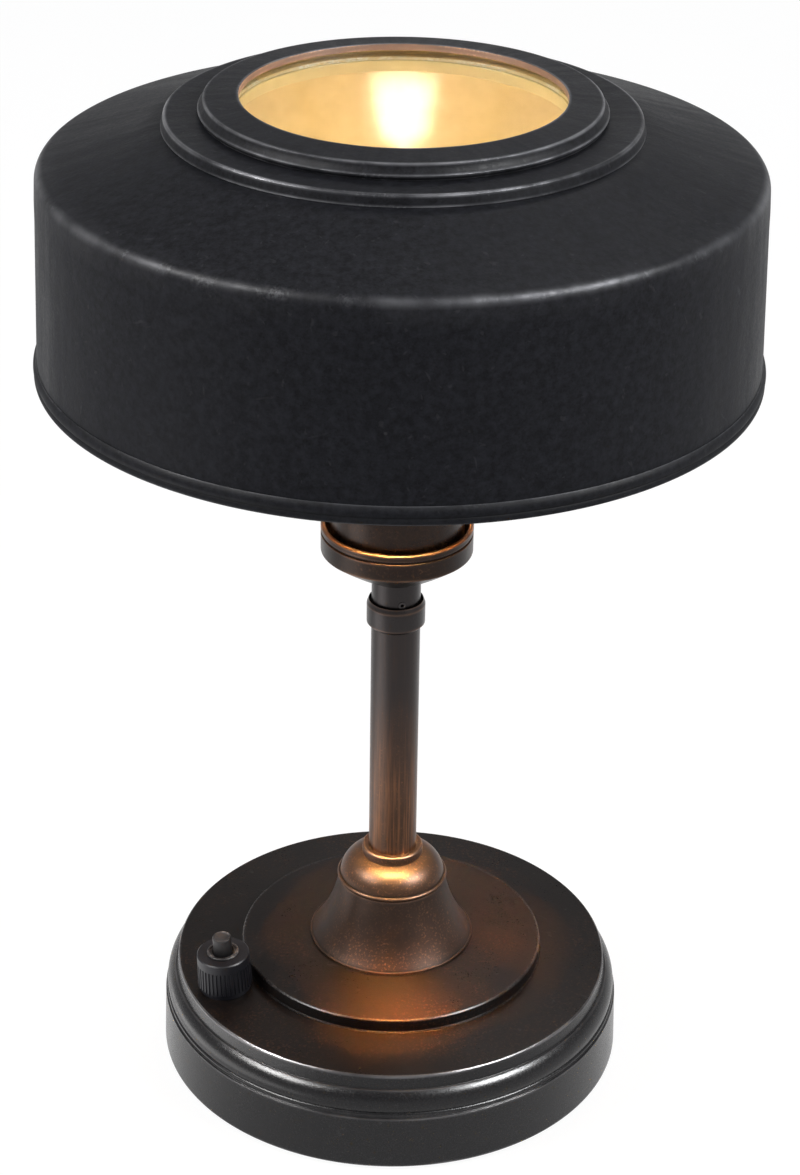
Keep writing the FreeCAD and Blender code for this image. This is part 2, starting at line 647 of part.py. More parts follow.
disc_edge = base_top + disc_height
disc_top = disc_edge + disc_crown
bell_top = disc_top + bell_height
dome_foot = bell_top + bead_height
dome_top = dome_foot + dome_height
ring_top = dome_top + ring_height
tube_joint = dome_top + stem_length
cup_foot = tube_joint + neck_length
cup_top = cup_foot + cup_bowl_height + cup_side_height + cup_groove_height + cup_rim_height
shelf_level = cup_foot + cup_shelf
sleeve_top = shelf_level + sleeve_height

weight_foot = base_underside - weight_thickness
washer_foot = weight_foot - washer_thickness
nut_foot = washer_foot - nut_height
tie_foot = nut_foot - tie_below

cup_nut_foot = cup_foot + cup_floor
holder_foot = cup_nut_foot + cup_nut_height + holder_gap
tie_top = holder_foot + holder_floor
insert_foot = tie_top + insert_ledge
insert_top = insert_foot + insert_height
holder_top = holder_foot + holder_cap_height
hub_top = sleeve_top + hub_thickness

shade_corner = hem_level + shade_wall_height
flange_foot = shade_corner + shade_cone_rise
flange_top = flange_foot + flange_height
glass_foot = flange_top + gasket_thickness
glass_top = glass_foot + glass_thickness

bulb_foot = insert_top + contact_height
bulb_cap_foot = bulb_foot + bulb_tip_height + bulb_insulator_height
bulb_cap_top = bulb_cap_foot + bulb_pitch * bulb_threads + bulb_collar
bulb_wide = bulb_cap_top + bulb_neck_height + bulb_flare_height
bulb_top = bulb_wide + bulb_crown_height


# ---------------------------------------------------------------- base

def make_base_casting():
    """Moulded round base, hollow below, with bosses, switch hole and cord hole."""
    lip_radius = base_radius - lip_inset
    moulding_top = plate_radius + riser_draft + ovolo_step
    inner_top = plate_radius - upper_wall
    shoulder = cavity_radius - inner_top
    outline = [
        (cavity_radius, rim_gap),
        (base_radius - foot_round, rim_gap),
        (base_radius, rim_gap + foot_round),
        (base_radius - base_draft, band_top),
        (base_radius - base_draft - groove_depth, band_top),
        (base_radius - base_draft - groove_depth, groove_top),
        (lip_radius - ovolo_inset / 2, groove_top, lip_bulge),
        (lip_radius - ovolo_inset, lip_top, ovolo_bulge),
        (moulding_top, ovolo_top),
        (moulding_top - ovolo_step, ovolo_top),
        (plate_radius + edge_round, plate_edge - edge_round),
        (plate_radius, plate_edge),
        (crown_start, base_top),
        (tie_hole, base_top),
        (tie_hole, base_underside),
        (inner_top, base_underside),
        (inner_top, band_top + shoulder),
        (cavity_radius, band_top),
    ]
    shell = turned("base_shell", outline)

    def boss(name, angle):
        x, y = polar(boss_circle, angle)
        return place(rod(name, boss_radius, base_underside - cover_top), x, y, cover_top)

    def boss_hole(name, angle):
        x, y = polar(boss_circle, angle)
        return place(rod(name, cover_screw_radius, cover_screw_length), x, y, cover_top)

    body = joined("base_body", [shell] + around(3, boss_angle, "boss", boss))
    holes = around(3, boss_angle, "boss_hole", boss_hole)
    below = -switch_plate * 2
    switch_hole = at_switch(rod("switch_hole", bushing_radius + screw_play, switch_plate * 3), below)
    spot = at_switch(rod("switch_spot", switch_body_radius + spot_face, switch_plate), below)
    cord_hole = rod("cord_hole", inlet_radius + inlet_play, base_wall * 3)
    place(cord_hole, y=base_radius - base_wall * 2, z=inlet_level, roll=as_size(-90))
    cord_spot = rod("cord_spot", inlet_flange + inlet_play, base_wall)
    place(cord_spot, y=base_radius - inlet_spot, z=inlet_level, roll=as_size(-90))
    keep(cut("base_casting", body, holes + [switch_hole, spot, cord_hole, cord_spot]), "base_casting")


def at_switch(item, z=ZERO):
    """Stand an item square on the sloping top plate at the switch, z above it."""
    z = as_size(z)
    x, y = polar(switch_circle + z * sine(crown_angle), switch_angle)
    return place(item, x, y, switch_level + z * cosine(crown_angle), turn=switch_angle, tip=crown_angle)


def make_base_fittings():
    """Pad, cover plate and its screws, weight, raised disc."""
    keep(rod("base_pad", pad_radius, pad_thickness), "base_pad")

    def cover_hole(name, angle):
        x, y = polar(boss_circle, angle)
        return place(rod(name, cover_screw_radius + screw_play, cover_top), x, y)

    plate = place(rod("cover_blank", cavity_radius - cover_play, cover_thickness), z=pad_thickness)
    keep(cut("base_plate", plate, around(3, boss_angle, "cover_hole", cover_hole)), "base_plate")

    def cover_screw(name, angle):
        x, y = polar(boss_circle, angle)
        length = cover_screw_length - cover_head_height
        shank = place(rod(name + "_shank", cover_screw_radius, length), x, y, pad_thickness)
        head_foot = pad_thickness - cover_head_height
        head = place(rod(name + "_head", cover_head_radius, cover_head_height), x, y, head_foot)
        return joined(name, [head, shank])

    screws = around(3, boss_angle, "cover_screw", cover_screw)
    keep(group("base_plate_screws", screws), "base_plate_screws")
    keep(ring("base_weight", tie_hole, weight_radius, weight_foot, base_underside), "base_weight")
    disc = [
        (tie_hole, base_top),
        (crown_start, base_top),
        (crown_start, base_top + disc_foot_height),
        (disc_radius, base_top + disc_foot_height),
        (disc_radius, disc_edge - edge_round),
        (disc_radius - edge_round, disc_edge),
        (bell_radius, disc_top),
        (tie_hole, disc_top),
    ]
    keep(turned("top_disc", disc), "top_disc")


def make_cord_inlet():
    """Rubber grommet in the rear wall of the base."""
    face = base_radius - inlet_spot
    depth = base_wall - inlet_spot
    inner = -(depth + inlet_flange_height)
    grommet = [
        (inlet_bore, inner),
        (inlet_flange - inlet_flange_height / 2, inner),
        (inlet_radius, -depth),
        (inlet_radius, ZERO),
        (inlet_flange, ZERO),
        (inlet_flange - edge_round, inlet_flange_height),
        (inlet_bore, inlet_flange_height),
    ]
    body = turned("cord_grommet", grommet)
    keep(place(body, y=face, z=inlet_level, roll=as_size(-90)), "cord_grommet")


# ---------------------------------------------------------------- switch

switch_cap_foot = switch_washer_height
switch_cap_top = switch_washer_height + switch_cap_height
bushing_top = switch_cap_top + bushing_proud
body_top = -switch_plate
bushing_foot = body_top - bushing_below
flange_level = bushing_foot - plunger_rest_gap
body_foot = body_top - switch_body_height
chamber_foot = body_foot + switch_floor
spring_top = flange_level - plunger_flange


def make_switch_cap():
    """Fluted cap: a turned blank with one flute cut in it and repeated round it."""
    top_radius = switch_cap_radius - switch_cap_taper
    body = turned("switch_housing", [
        (bushing_radius + screw_play, switch_cap_foot),
        (switch_cap_radius, switch_cap_foot),
        (top_radius, switch_cap_top - switch_cap_edge),
        (top_radius - switch_cap_edge, switch_cap_top),
        (bushing_radius + screw_play, switch_cap_top),
    ])
    lean = switch_cap_taper / (switch_cap_height - switch_cap_edge)
    line = sketch_on(body, "XZ_Plane", "flute_line")
    foot = (switch_cap_radius + lean * switch_cap_foot, ZERO)
    head = (switch_cap_radius - lean * flute_height, switch_cap_foot + flute_height)
    edge, begin, finish = add_edge(line, foot, head, None)
    pin_vertex(line, edge, begin, *foot)
    pin_vertex(line, edge, finish, *head)
    section = sketch_on(body, "XY_Plane", "flute_section")
    middle = Vector(foot[0].value, 0, 0)
    circle = section.addGeometry(Part.Circle(middle, Vector(0, 0, 1), flute_radius.value), False)
    pin_vertex(section, circle, 3, *foot)
    rule = section.addConstraint(Sketcher.Constraint("Radius", circle, flute_radius.value))
    section.setExpression(f"Constraints[{rule}]", flute_radius.text)
    flute = body.newObject("PartDesign::SubtractivePipe", "flute")
    flute.Profile = section
    flute.Spine = (line, ["Edge1"])
    flutes = body.newObject("PartDesign::PolarPattern", "flutes")
    flutes.Originals = [flute]
    flutes.Axis = (section, ["N_Axis"])
    flutes.Angle = 360
    flutes.Occurrences = flute_count
    body.Tip = flutes
    keep(at_switch(body), "switch_housing")


def make_switch():
    """Push switch: washer, cap and bushing above the plate, body and tabs below."""
    make_switch_cap()
    hole = bushing_radius + screw_play
    washer = ring("switch_washer", hole, switch_washer_radius, ZERO, switch_washer_height)
    keep(at_switch(washer), "switch_washer")
    bore = plunger_radius + plunger_play
    bushing = turned("switch_bushing", [
        (bore, bushing_foot),
        (bushing_radius, bushing_foot),
        (bushing_radius, bushing_top),
        (bushing_mouth, bushing_top),
        (bore, bushing_top - bushing_mouth_depth),
    ])
    keep(at_switch(bushing), "switch_bushing")
    nut_top = switch_cap_top + switch_nut_height
    nut = turned("switch_nut", [
        (bushing_radius, switch_cap_top),
        (switch_nut_radius, switch_cap_top),
        (switch_nut_radius, nut_top - switch_nut_edge),
        (switch_nut_radius - switch_nut_edge, nut_top),
        (bushing_radius, nut_top),
    ])
    keep(at_switch(nut), "switch_nut")
    body = turned("switch_body", [
        (ZERO, body_foot),
        (switch_body_radius, body_foot),
        (switch_body_radius, body_top),
        (bushing_radius, body_top),
        (bushing_radius, bushing_foot),
        (switch_chamber, bushing_foot),
        (switch_chamber, chamber_foot),
        (ZERO, chamber_foot),
    ])
    keep(at_switch(body), "switch_body")
    tabs = []
    for side in (-1, 1):
        tab = box(f"switch_tab_{side + 2}", terminal_sheet, terminal_width, terminal_height)
        reach = terminal_offset * side
        x, y = polar(switch_circle + (body_foot - terminal_height) * sine(crown_angle), switch_angle)
        level = switch_level + (body_foot - terminal_height) * cosine(crown_angle)
        along_x = reach * cosine(switch_angle) + terminal_width / 2 * sine(switch_angle)
        along_y = reach * sine(switch_angle) - terminal_width / 2 * cosine(switch_angle)
        drop = reach * sine(crown_angle)
        place(tab, x + along_x, y + along_y, level - drop, turn=switch_angle, tip=crown_angle)
        tabs.append(tab)
    keep(group("switch_terminals", tabs), "switch_terminals")


def make_plunger():
    """Push button with its dished top and stop flange."""
    top = switch_cap_top + plunger_proud
    collar = switch_chamber - plunger_flange_play
    plunger = turned("switch_plunger", [
        (ZERO, spring_top),
        (collar, spring_top),
        (collar, flange_level),
        (plunger_radius, flange_level),
        (plunger_radius, top - edge_round),
        (plunger_radius - edge_round / 2, top),
        (plunger_radius - plunger_rim, top, -plunger_dish / 4),
        (ZERO, top - plunger_dish),
    ])
    keep(at_switch(plunger), "switch_plunger")
    make_spring()


def make_spring():
    """Coil spring under the button: tangent arcs, eight to a turn, that climb as a helix does."""
    play = spring_wire + plunger_rest_gap
    foot = chamber_foot + play
    span = spring_top - play - foot
    step = math.pi * 2 / ARCS_PER_TURN
    corner = spring_radius.value / math.cos(step / 2)
    count = spring_turns * ARCS_PER_TURN
    points = []
    for index in range(count + 1):
        angle = step * index
        points.append(Vector(corner * math.cos(angle), corner * math.sin(angle), span.value * index / count))
    bends = [spring_radius.value * ARC_SHARE] * (count - 1)
    spring = doc.addObject("Part::Feature", "switch_spring")
    spring.Shape = tube_along(points, bends, spring_wire.value)
    keep(at_switch(spring, foot), "switch_spring")


# ---------------------------------------------------------------- stem

def make_foot():
    """Bell, domed knuckle with its bead, and ring at the foot of the stem."""
    bell_side = bell_radius - bell_step
    bell = [
        (bell_radius - bell_wall, disc_top),
        (bell_radius, disc_top),
        (bell_radius, disc_top + bell_lip),
        (bell_side, disc_top + bell_lip, -bell_hollow),
        (bell_top_radius, bell_top),
        (tie_hole, bell_top),
        (tie_hole, bell_top - bell_wall),
        (bell_top_radius - bell_wall, bell_top - bell_wall, bell_hollow),
    ]
    keep(turned("bell_foot", bell), "bell_foot")
    dome = [
        (tie_hole, bell_top),
        (bead_radius - bead_height / 4, bell_top, bead_height / 4),
        (bead_radius - bead_height / 4, dome_foot),
        (dome_radius, dome_foot, dome_bulge),
        (ring_radius, dome_top),
        (tie_hole, dome_top),
    ]
    keep(turned("foot_dome", dome), "foot_dome")
    foot_ring = [
        (stem_radius + seat_play, dome_top),
        (ring_radius, dome_top),
        (ring_radius, ring_top - ring_round),
        (ring_radius - ring_round, ring_top),
        (stem_radius + seat_play, ring_top),
    ]
    keep(turned("foot_ring", foot_ring), "foot_ring")


def make_tubes():
    """Stem, collar, neck with its bush and grub screw, and the tie tube inside."""
    inner = stem_radius - stem_wall
    keep(ring("stem_tube", inner, stem_radius, dome_top, tube_joint), "stem_tube")
    foot = tube_joint - collar_below
    top = tube_joint + collar_above
    seat = stem_radius + seat_play
    mouth = collar_radius - collar_mouth_wall
    collar = [
        (seat, foot),
        (collar_radius - collar_foot_chamfer, foot),
        (collar_radius, foot + collar_foot_chamfer),
        (collar_radius, top - collar_top_chamfer),
        (mouth + seat_play, top),
        (mouth, top),
        (mouth, top - collar_mouth_depth),
        (seat, top - collar_mouth_depth),
    ]
    keep(turned("stem_collar", collar), "stem_collar")
    neck = ring("neck_blank", inner, stem_radius, tube_joint, cup_foot)
    bush = ring("bush_blank", tie_hole, inner - seat_play, tube_joint, cup_foot)
    screw = grub_rod("grub_blank", grub_radius)
    keep(cut("neck_tube", neck, [grub_rod("neck_hole", grub_radius + seat_play)]), "neck_tube")
    keep(cut("neck_bush", bush, [grub_rod("bush_hole", grub_radius + seat_play)]), "neck_bush")
    socket = grub_rod("grub_socket", grub_radius / 2)
    reach = stem_radius + grub_proud
    x, y = polar(reach - grub_radius, grub_angle)
    place(socket, x, y, tube_joint + grub_height, turn=grub_angle, tip=as_size(90))
    keep(cut("grub_screw", screw, [socket]), "neck_grub_screw")
    keep(ring("tie_tube", tie_bore, tie_radius, tie_foot, tie_top), "tie_tube")
    keep(hex_nut("tie_tube_nut", nut_flats, nut_height, tie_radius, nut_foot), "tie_tube_nut")
    washer = ring("tie_tube_washer", tie_hole, washer_radius, washer_foot, weight_foot)
    keep(washer, "tie_tube_washer")


def grub_rod(name, radius):
    """A rod on the axis of the grub screw, from inside the bush to outside the neck."""
    start = stem_radius + grub_proud - grub_length
    x, y = polar(start, grub_angle)
    item = rod(name, radius, grub_length)
    return place(item, x, y, tube_joint + grub_height, turn=grub_angle, tip=as_size(90))


# ---------------------------------------------------------------- cup, sleeve and lampholder

def make_cup():
    """Shallow cup with a grooved rim; the sleeve stands on a shelf inside it."""
    bowl_top = cup_foot + cup_bowl_height
    groove_foot = bowl_top + cup_side_height
    groove_end = groove_foot + cup_groove_height
    inner = cup_radius - cup_wall
    shelf_inner = inner - cup_shelf_width
    cup = [
        (tie_hole, cup_foot),
        (cup_foot_radius, cup_foot, cup_bulge),
        (cup_radius, bowl_top),
        (cup_radius, groove_foot),
        (cup_radius - cup_groove_depth, groove_foot),
        (cup_radius - cup_groove_depth, groove_end),
        (cup_radius, groove_end),
        (cup_radius, cup_top - cup_rim_round),
        (cup_radius - cup_rim_round, cup_top),
        (inner, cup_top),
        (inner, shelf_level),
        (shelf_inner, shelf_level),
        (shelf_inner, shelf_level - cup_shelf_height),
        (cup_foot_radius, cup_foot + cup_floor),
        (tie_hole, cup_foot + cup_floor),
    ]
    keep(turned("holder_cup", cup), "holder_cup")
    keep(hex_nut("cup_nut", nut_flats, cup_nut_height, tie_radius, cup_nut_foot), "cup_nut")
    sleeve = [
        (sleeve_radius - sleeve_wall, shelf_level),
        (sleeve_radius, shelf_level),
        (sleeve_radius, sleeve_top - edge_round),
        (sleeve_radius - edge_round, sleeve_top),
        (skirt_hole, sleeve_top),
        (skirt_hole, sleeve_top - sleeve_wall),
        (sleeve_radius - sleeve_wall, sleeve_top - sleeve_wall),
    ]
    keep(turned("holder_sleeve", sleeve), "holder_sleeve")


def make_lampholder():
    """Edison screw lampholder: cap, skirt, ceramic insert, screw shell and contact."""
    inner = holder_radius - holder_wall
    ledge = inner - insert_ledge
    cap = [
        (tie_radius, holder_foot),
        (holder_radius, holder_foot),
        (holder_radius, holder_top),
        (inner, holder_top),
        (inner, insert_foot),
        (ledge, insert_foot),
        (ledge, tie_top),
        (tie_radius, tie_top),
    ]
    keep(turned("lampholder_cap", cap), "lampholder_cap")
    flange_high = sleeve_top - sleeve_wall
    flange_low = flange_high - skirt_flange_height
    skirt_top = holder_top + skirt_height
    skirt = [
        (inner, holder_top),
        (skirt_radius, holder_top),
        (skirt_radius, flange_low),
        (skirt_radius + skirt_flange, flange_low),
        (skirt_radius + skirt_flange, flange_high),
        (skirt_radius, flange_high),
        (skirt_radius, skirt_top),
        (inner, skirt_top),
    ]
    keep(turned("lampholder_skirt", skirt), "lampholder_skirt")

    insert = place(rod("insert", inner - insert_play, insert_height), z=insert_foot)
    keep(insert, "lampholder_insert")
    shell_outer = shell_bore + shell_wall
    shell = [
        (contact_radius + contact_gap, insert_top),
        (shell_outer, insert_top),
        (shell_outer, insert_top + shell_height),
        (shell_bore, insert_top + shell_height),
        (shell_bore, insert_top + shell_wall),
        (contact_radius + contact_gap, insert_top + shell_wall),
    ]
    keep(turned("lampholder_shell", shell), "lampholder_shell")
    contact = [
        (ZERO, insert_top),
        (contact_radius, insert_top),
        (contact_radius, insert_top + shell_wall),
        (contact_radius / 2, bulb_foot),
        (ZERO, bulb_foot),
    ]
    keep(turned("centre_contact", contact), "centre_contact")
    nut = ring("shade_ring", skirt_hole, shade_ring_radius, hub_top, hub_top + shade_ring_height)
    keep(nut, "shade_ring")


# ---------------------------------------------------------------- shade

def wall_radius(level):
    """Outer radius of the sloping shade wall at a height above the foot of the shade."""
    slope = (shade_foot_radius - shade_radius) / (shade_wall_height - hem_height)
    return shade_foot_radius - (level - hem_height) * slope


def make_shade():
    """Spun shade: leaning wall, rounded corner, shallow cone and flat seat for the cap."""
    foot = hem_level + hem_seat
    foot_radius = wall_radius(hem_seat)
    lean = arc_tangent(shade_foot_radius - shade_radius, shade_wall_height - hem_height)
    pitch = arc_tangent(shade_cone_rise, shade_radius - flange_radius)
    turn = 90 - lean - pitch
    inner_reach = shade_round - shade_sheet * tangent(turn / 2)
    wall_end = (shade_radius + shade_round * sine(lean), shade_corner - shade_round * cosine(lean))
    cone_end = (shade_radius - shade_round * cosine(pitch), shade_corner + shade_round * sine(pitch))
    shade = [
        (foot_radius - shade_sheet, foot),
        (foot_radius, foot),
        (wall_end[0], wall_end[1], rounding(shade_round, turn)),
        cone_end,
        (flange_radius, flange_foot),
        (shade_opening, flange_foot),
        (shade_opening, flange_foot - shade_sheet),
        (flange_radius - shade_sheet * tangent(pitch / 2), flange_foot - shade_sheet),
        (cone_end[0] - shade_sheet * sine(pitch), cone_end[1] - shade_sheet * cosine(pitch),
         -rounding(inner_reach, turn)),
        (wall_end[0] - shade_sheet * cosine(lean), wall_end[1] - shade_sheet * sine(lean)),
    ]
    holes = around(cap_screw_count, as_size(45), "shade_hole", cap_hole)
    keep(cut("shade_shell", turned("shade_blank", shade), holes), "shade_shell")
    inner = hem_radius - hem_wall
    seat = hem_level + hem_seat
    top = hem_level + hem_height
    wall = shade_foot_radius + band_play
    crease = hem_level + hem_crease_level
    seat_radius = foot_radius + band_play
    band = [
        (inner, hem_level),
        (hem_radius - hem_crease, hem_level, hem_crease / 2),
        (hem_radius - hem_crease, crease, hem_crease),
        (wall + hem_shoulder / 4, top - hem_shoulder / 4),
        (wall, top),
        (seat_radius, seat),
        (inner, seat),
    ]
    keep(turned("hem_band", band), "hem_band")


def cap_hole(name, angle):
    """Clearance hole for a cap screw through shade and flange."""
    x, y = polar(cap_screw_circle, angle)
    height = flange_height + shade_sheet * 2
    return place(rod(name, cap_screw_radius + screw_play, height), x, y, flange_foot - shade_sheet * 2)


def make_cap():
    """Flange, seal, glass, bezel and the screws that hold them to the shade."""
    flange = [
        (flange_bore, flange_foot),
        (flange_radius, flange_foot),
        (flange_radius - flange_draft, flange_top - flange_round),
        (flange_radius - flange_draft - flange_round, flange_top),
        (flange_bore, flange_top),
    ]
    holes = around(cap_screw_count, as_size(45), "flange_hole", cap_hole)
    keep(cut("cap_flange", turned("flange_blank", flange), holes), "cap_flange")
    seat = flange_bore + gasket_inset
    keep(ring("lens_gasket", seat, glass_radius, flange_top, glass_foot), "lens_gasket")
    glass = place(rod("glass_lens", glass_radius, glass_thickness), z=glass_foot)
    keep(glass, "glass_lens")
    widest = flange_top + bezel_foot_height
    face = widest + bezel_side_height
    bezel = [
        (glass_radius + glass_play, flange_top),
        (bezel_radius - bezel_foot, flange_top),
        (bezel_radius, widest - bezel_foot / 2),
        (bezel_radius, widest, -bezel_hollow),
        (bezel_top_radius, face - edge_round / 2),
        (bezel_top_radius - edge_round / 2, face),
        (bezel_opening + edge_round / 2, face + bezel_crown),
        (bezel_opening, face + bezel_crown - edge_round / 2),
        (bezel_opening, glass_top),
        (glass_radius + glass_play, glass_top),
    ]

    def blind_hole(name, angle):
        x, y = polar(cap_screw_circle, angle)
        return place(rod(name, cap_screw_radius, cap_screw_reach), x, y, flange_top)

    holes = around(cap_screw_count, as_size(45), "bezel_hole", blind_hole)
    keep(cut("glass_bezel", turned("bezel_blank", bezel), holes), "glass_bezel")

    def cap_screw(name, angle):
        x, y = polar(cap_screw_circle, angle)
        seat_level = flange_foot - shade_sheet
        length = shade_sheet + flange_height + cap_screw_reach
        shank = place(rod(name + "_shank", cap_screw_radius, length), x, y, seat_level)
        head = rod(name + "_head", cap_head_radius, cap_head_height)
        place(head, x, y, seat_level - cap_head_height)
        return joined(name, [head, shank])

    screws = around(cap_screw_count, as_size(45), "cap_screw", cap_screw)
    keep(group("cap_screws", screws), "cap_screws")


def make_spider():
    """Hub plate and bent arms that carry the shade, with welded studs and nuts."""
    foot_low = hem_level + arm_foot_level
    foot_high = foot_low + arm_foot_height
    inside = wall_radius(arm_foot_level + arm_foot_height) - shade_sheet
    outer = inside - arm_gap
    inner = outer - hub_thickness
    hub = ring("spider_hub", skirt_hole, hub_radius, sleeve_top, hub_top)
    arm_profile = [
        (hub_radius - hub_thickness, sleeve_top),
        (arm_root, sleeve_top),
        (outer, foot_low - hub_thickness),
        (outer, foot_high),
        (inner, foot_high),
        (inner, foot_low),
        (arm_root - hub_thickness / 4, hub_top),
        (hub_radius - hub_thickness, hub_top),
    ]
    stud_level = foot_low + stud_height

    def radial(name, radius, start, length, angle):
        x, y = polar(start, angle)
        return place(rod(name, radius, length), x, y, stud_level, turn=angle, tip=as_size(90))

    def arm(name, angle):
        body = doc.addObject("PartDesign::Body", name)
        sketch = sketch_on(body, "XZ_Plane", name + "_side")
        draw_profile(sketch, arm_profile)
        pad = body.newObject("PartDesign::Pad", name + "_pad")
        pad.Profile = sketch
        pad.Midplane = True
        bind(pad, {"Length": arm_width})
        body.Tip = pad
        return place(body, turn=angle)

    def stud_hole(name, angle):
        return radial(name, stud_radius + screw_play, inner - hub_thickness, hub_thickness * 3, angle)

    def stud(name, angle):
        bolt_start = outer + arm_gap - stud_length
        bolt = radial(name + "_bolt", stud_radius, bolt_start, stud_length, angle)
        head = radial(name + "_head", stud_head_radius, outer, arm_gap, angle)
        return joined(name, [bolt, head])

    def nut(name, angle):
        blank = doc.addObject("Part::Prism", name + "_blank")
        blank.Polygon = 6
        bind(blank, {"Circumradius": stud_nut_flats / 2 / cosine(30), "Height": stud_nut_height})
        start = inner - stud_nut_height
        x, y = polar(start, angle)
        place(blank, x, y, stud_level, turn=angle, tip=as_size(90))
        hole = radial(name + "_hole", stud_radius, start - stud_nut_height, stud_nut_height * 3, angle)
        return cut(name, blank, [hole])

    first = as_size(90)
    arms = joined("spider_plate", [hub] + around(spider_arms, first, "spider_arm", arm))
    holes = around(spider_arms, first, "stud_hole", stud_hole)
    keep(cut("shade_spider", arms, holes), "shade_spider")
    keep(group("spider_studs", around(spider_arms, first, "stud", stud)), "spider_studs")
    keep(group("spider_nuts", around(spider_arms, first, "stud_nut", nut)), "spider_nuts")


# ---------------------------------------------------------------- bulb

def make_bulb():
    """Clear bulb with upright light strips on a glass mount."""
    tip_top = bulb_foot + bulb_tip_height
    keep(place(rod("bulb_contact", bulb_tip_radius, bulb_tip_height), z=bulb_foot), "bulb_contact")
    core = bulb_cap_radius - bulb_thread_depth
    insulator = [
        (ZERO, tip_top),
        (bulb_tip_radius, tip_top),
        (core, bulb_cap_foot),
        (ZERO, bulb_cap_foot),
    ]
    keep(turned("bulb_insulator", insulator), "bulb_insulator")
    inside = core - bulb_glass
    cap = [(inside, bulb_cap_foot), (core, bulb_cap_foot, bulb_thread_depth)]
    for turn in range(1, bulb_threads):
        cap.append((core, bulb_cap_foot + bulb_pitch * turn, bulb_thread_depth))
    thread_top = bulb_cap_foot + bulb_pitch * bulb_threads
    cap.append((core, thread_top))
    cap.append((bulb_neck_radius, thread_top + bulb_thread_depth))
    cap.append((bulb_neck_radius, bulb_cap_top))
    cap.append((inside, bulb_cap_top))
    keep(turned("bulb_cap", cap), "bulb_cap")
    neck_top = bulb_cap_top + bulb_neck_height
    crown = cap_of_ball(bulb_radius, bulb_crown_height)
    inner_crown = cap_of_ball(bulb_radius - bulb_glass, bulb_crown_height - bulb_glass)
    outline = [
        (mount_radius, bulb_cap_top),
        (bulb_neck_radius, bulb_cap_top),
        (bulb_neck_radius, neck_top, -bulb_flare_bulge),
        (bulb_radius, bulb_wide, crown),
        (ZERO, bulb_top),
        (ZERO, bulb_top - bulb_glass, -inner_crown),
        (bulb_radius - bulb_glass, bulb_wide, bulb_flare_bulge),
        (bulb_neck_radius - bulb_glass, neck_top),
        (bulb_neck_radius - bulb_glass, bulb_cap_top + bulb_glass),
        (mount_radius, bulb_cap_top + bulb_glass),
    ]
    keep(turned("bulb_envelope", outline), "bulb_envelope")
    mount_top = bulb_cap_top + mount_height
    mount = [
        (ZERO, bulb_cap_top),
        (mount_radius, bulb_cap_top),
        (mount_rod_radius * 2, mount_top),
        (mount_rod_radius, mount_top),
        (mount_rod_radius, mount_top + mount_rod_height),
        (ZERO, mount_top + mount_rod_height),
    ]
    keep(turned("bulb_stem", mount), "bulb_stem")

    strip_top = mount_top + mount_rod_height - strip_drop
    strip_foot = strip_top - filament_length * cosine(filament_lean)
    top_reach = filament_foot + filament_length * sine(filament_lean)

    def strip(name, angle):
        x, y = polar(filament_foot, angle)
        item = rod(name, filament_radius, filament_length)
        return place(item, x, y, strip_foot, turn=angle, tip=filament_lean)

    def wire(name, angle, reach, level):
        x, y = polar(mount_rod_radius, angle)
        item = rod(name, strip_wire, reach - mount_rod_radius)
        return place(item, x, y, level, turn=angle, tip=as_size(90))

    end_rise = strip_wire + filament_radius * sine(filament_lean)

    def upper_wire(name, angle):
        return wire(name, angle, top_reach, strip_top + end_rise)

    def lower_wire(name, angle):
        return wire(name, angle, filament_foot, strip_foot - end_rise)

    start = as_size(0)
    keep(group("bulb_filaments", around(filament_count, start, "light_strip", strip)), "bulb_filaments")
    wires = around(filament_count, start, "upper_wire", upper_wire)
    wires += around(filament_count, start, "lower_wire", lower_wire)
    keep(group("bulb_wires", wires), "bulb_wires")


# ---------------------------------------------------------------- wiring

def keep_leads(name, shapes):
    """Two leads as one piece with a placement of its own."""
    leads = doc.addObject("Part::Feature", name)
    leads.Shape = Part.makeCompound(shapes)
    leads.Placement = Placement(Vector(0, 0, 0), Rotation())
    keep(leads, name)


def make_wiring():
    """Terminal block on the cover plate, and the leads to lampholder and switch."""
    corner_x = -block_length / 2
    corner_y = block_offset - block_width / 2
    blank = place(box("block_blank", block_length, block_width, block_height), corner_x, corner_y, cover_top)
    wells = []
    screws = []
    for index in range(3):
        x = block_pitch * (index - 1)
        name = f"block_screw_{index + 1}"
        well = place(rod(name + "_well", block_screw_radius + screw_play, block_screw_height * 2), x,
                     block_offset, cover_top + block_height - block_screw_height * 2)
        screw = place(rod(name, block_screw_radius, block_screw_height), x,
                      block_offset, cover_top + block_height - block_screw_height * 2)
        wells.append(well)
        screws.append(screw)
    keep(cut("terminal_block", blank, wells), "terminal_block")
    keep(group("terminal_screws", screws), "terminal_screws")

    make_lamp_leads()
    make_switch_leads()


def make_lamp_leads():
    """From the front of the terminal block, up through the tie tube, to the insert."""
    level = lead_level.value
    face = (block_offset - block_width / 2).value
    bends = [lead_wide_bend.value, lead_wide_bend.value, lead_bend.value]
    shapes = []
    for side in (-1, 1):
        x = side * lead_spacing.value
        points = [
            Vector(side * block_pitch.value, face, level),
            Vector(side * block_pitch.value, (face + lead_run.value) / 2 + lead_bend.value / 2, level),
            Vector(x, lead_run.value, level),
            Vector(x, 0, level),
            Vector(x, 0, insert_foot.value),
        ]
        shapes.append(tube_along(points, bends, lead_radius.value))
    keep_leads("lamp_leads", shapes)


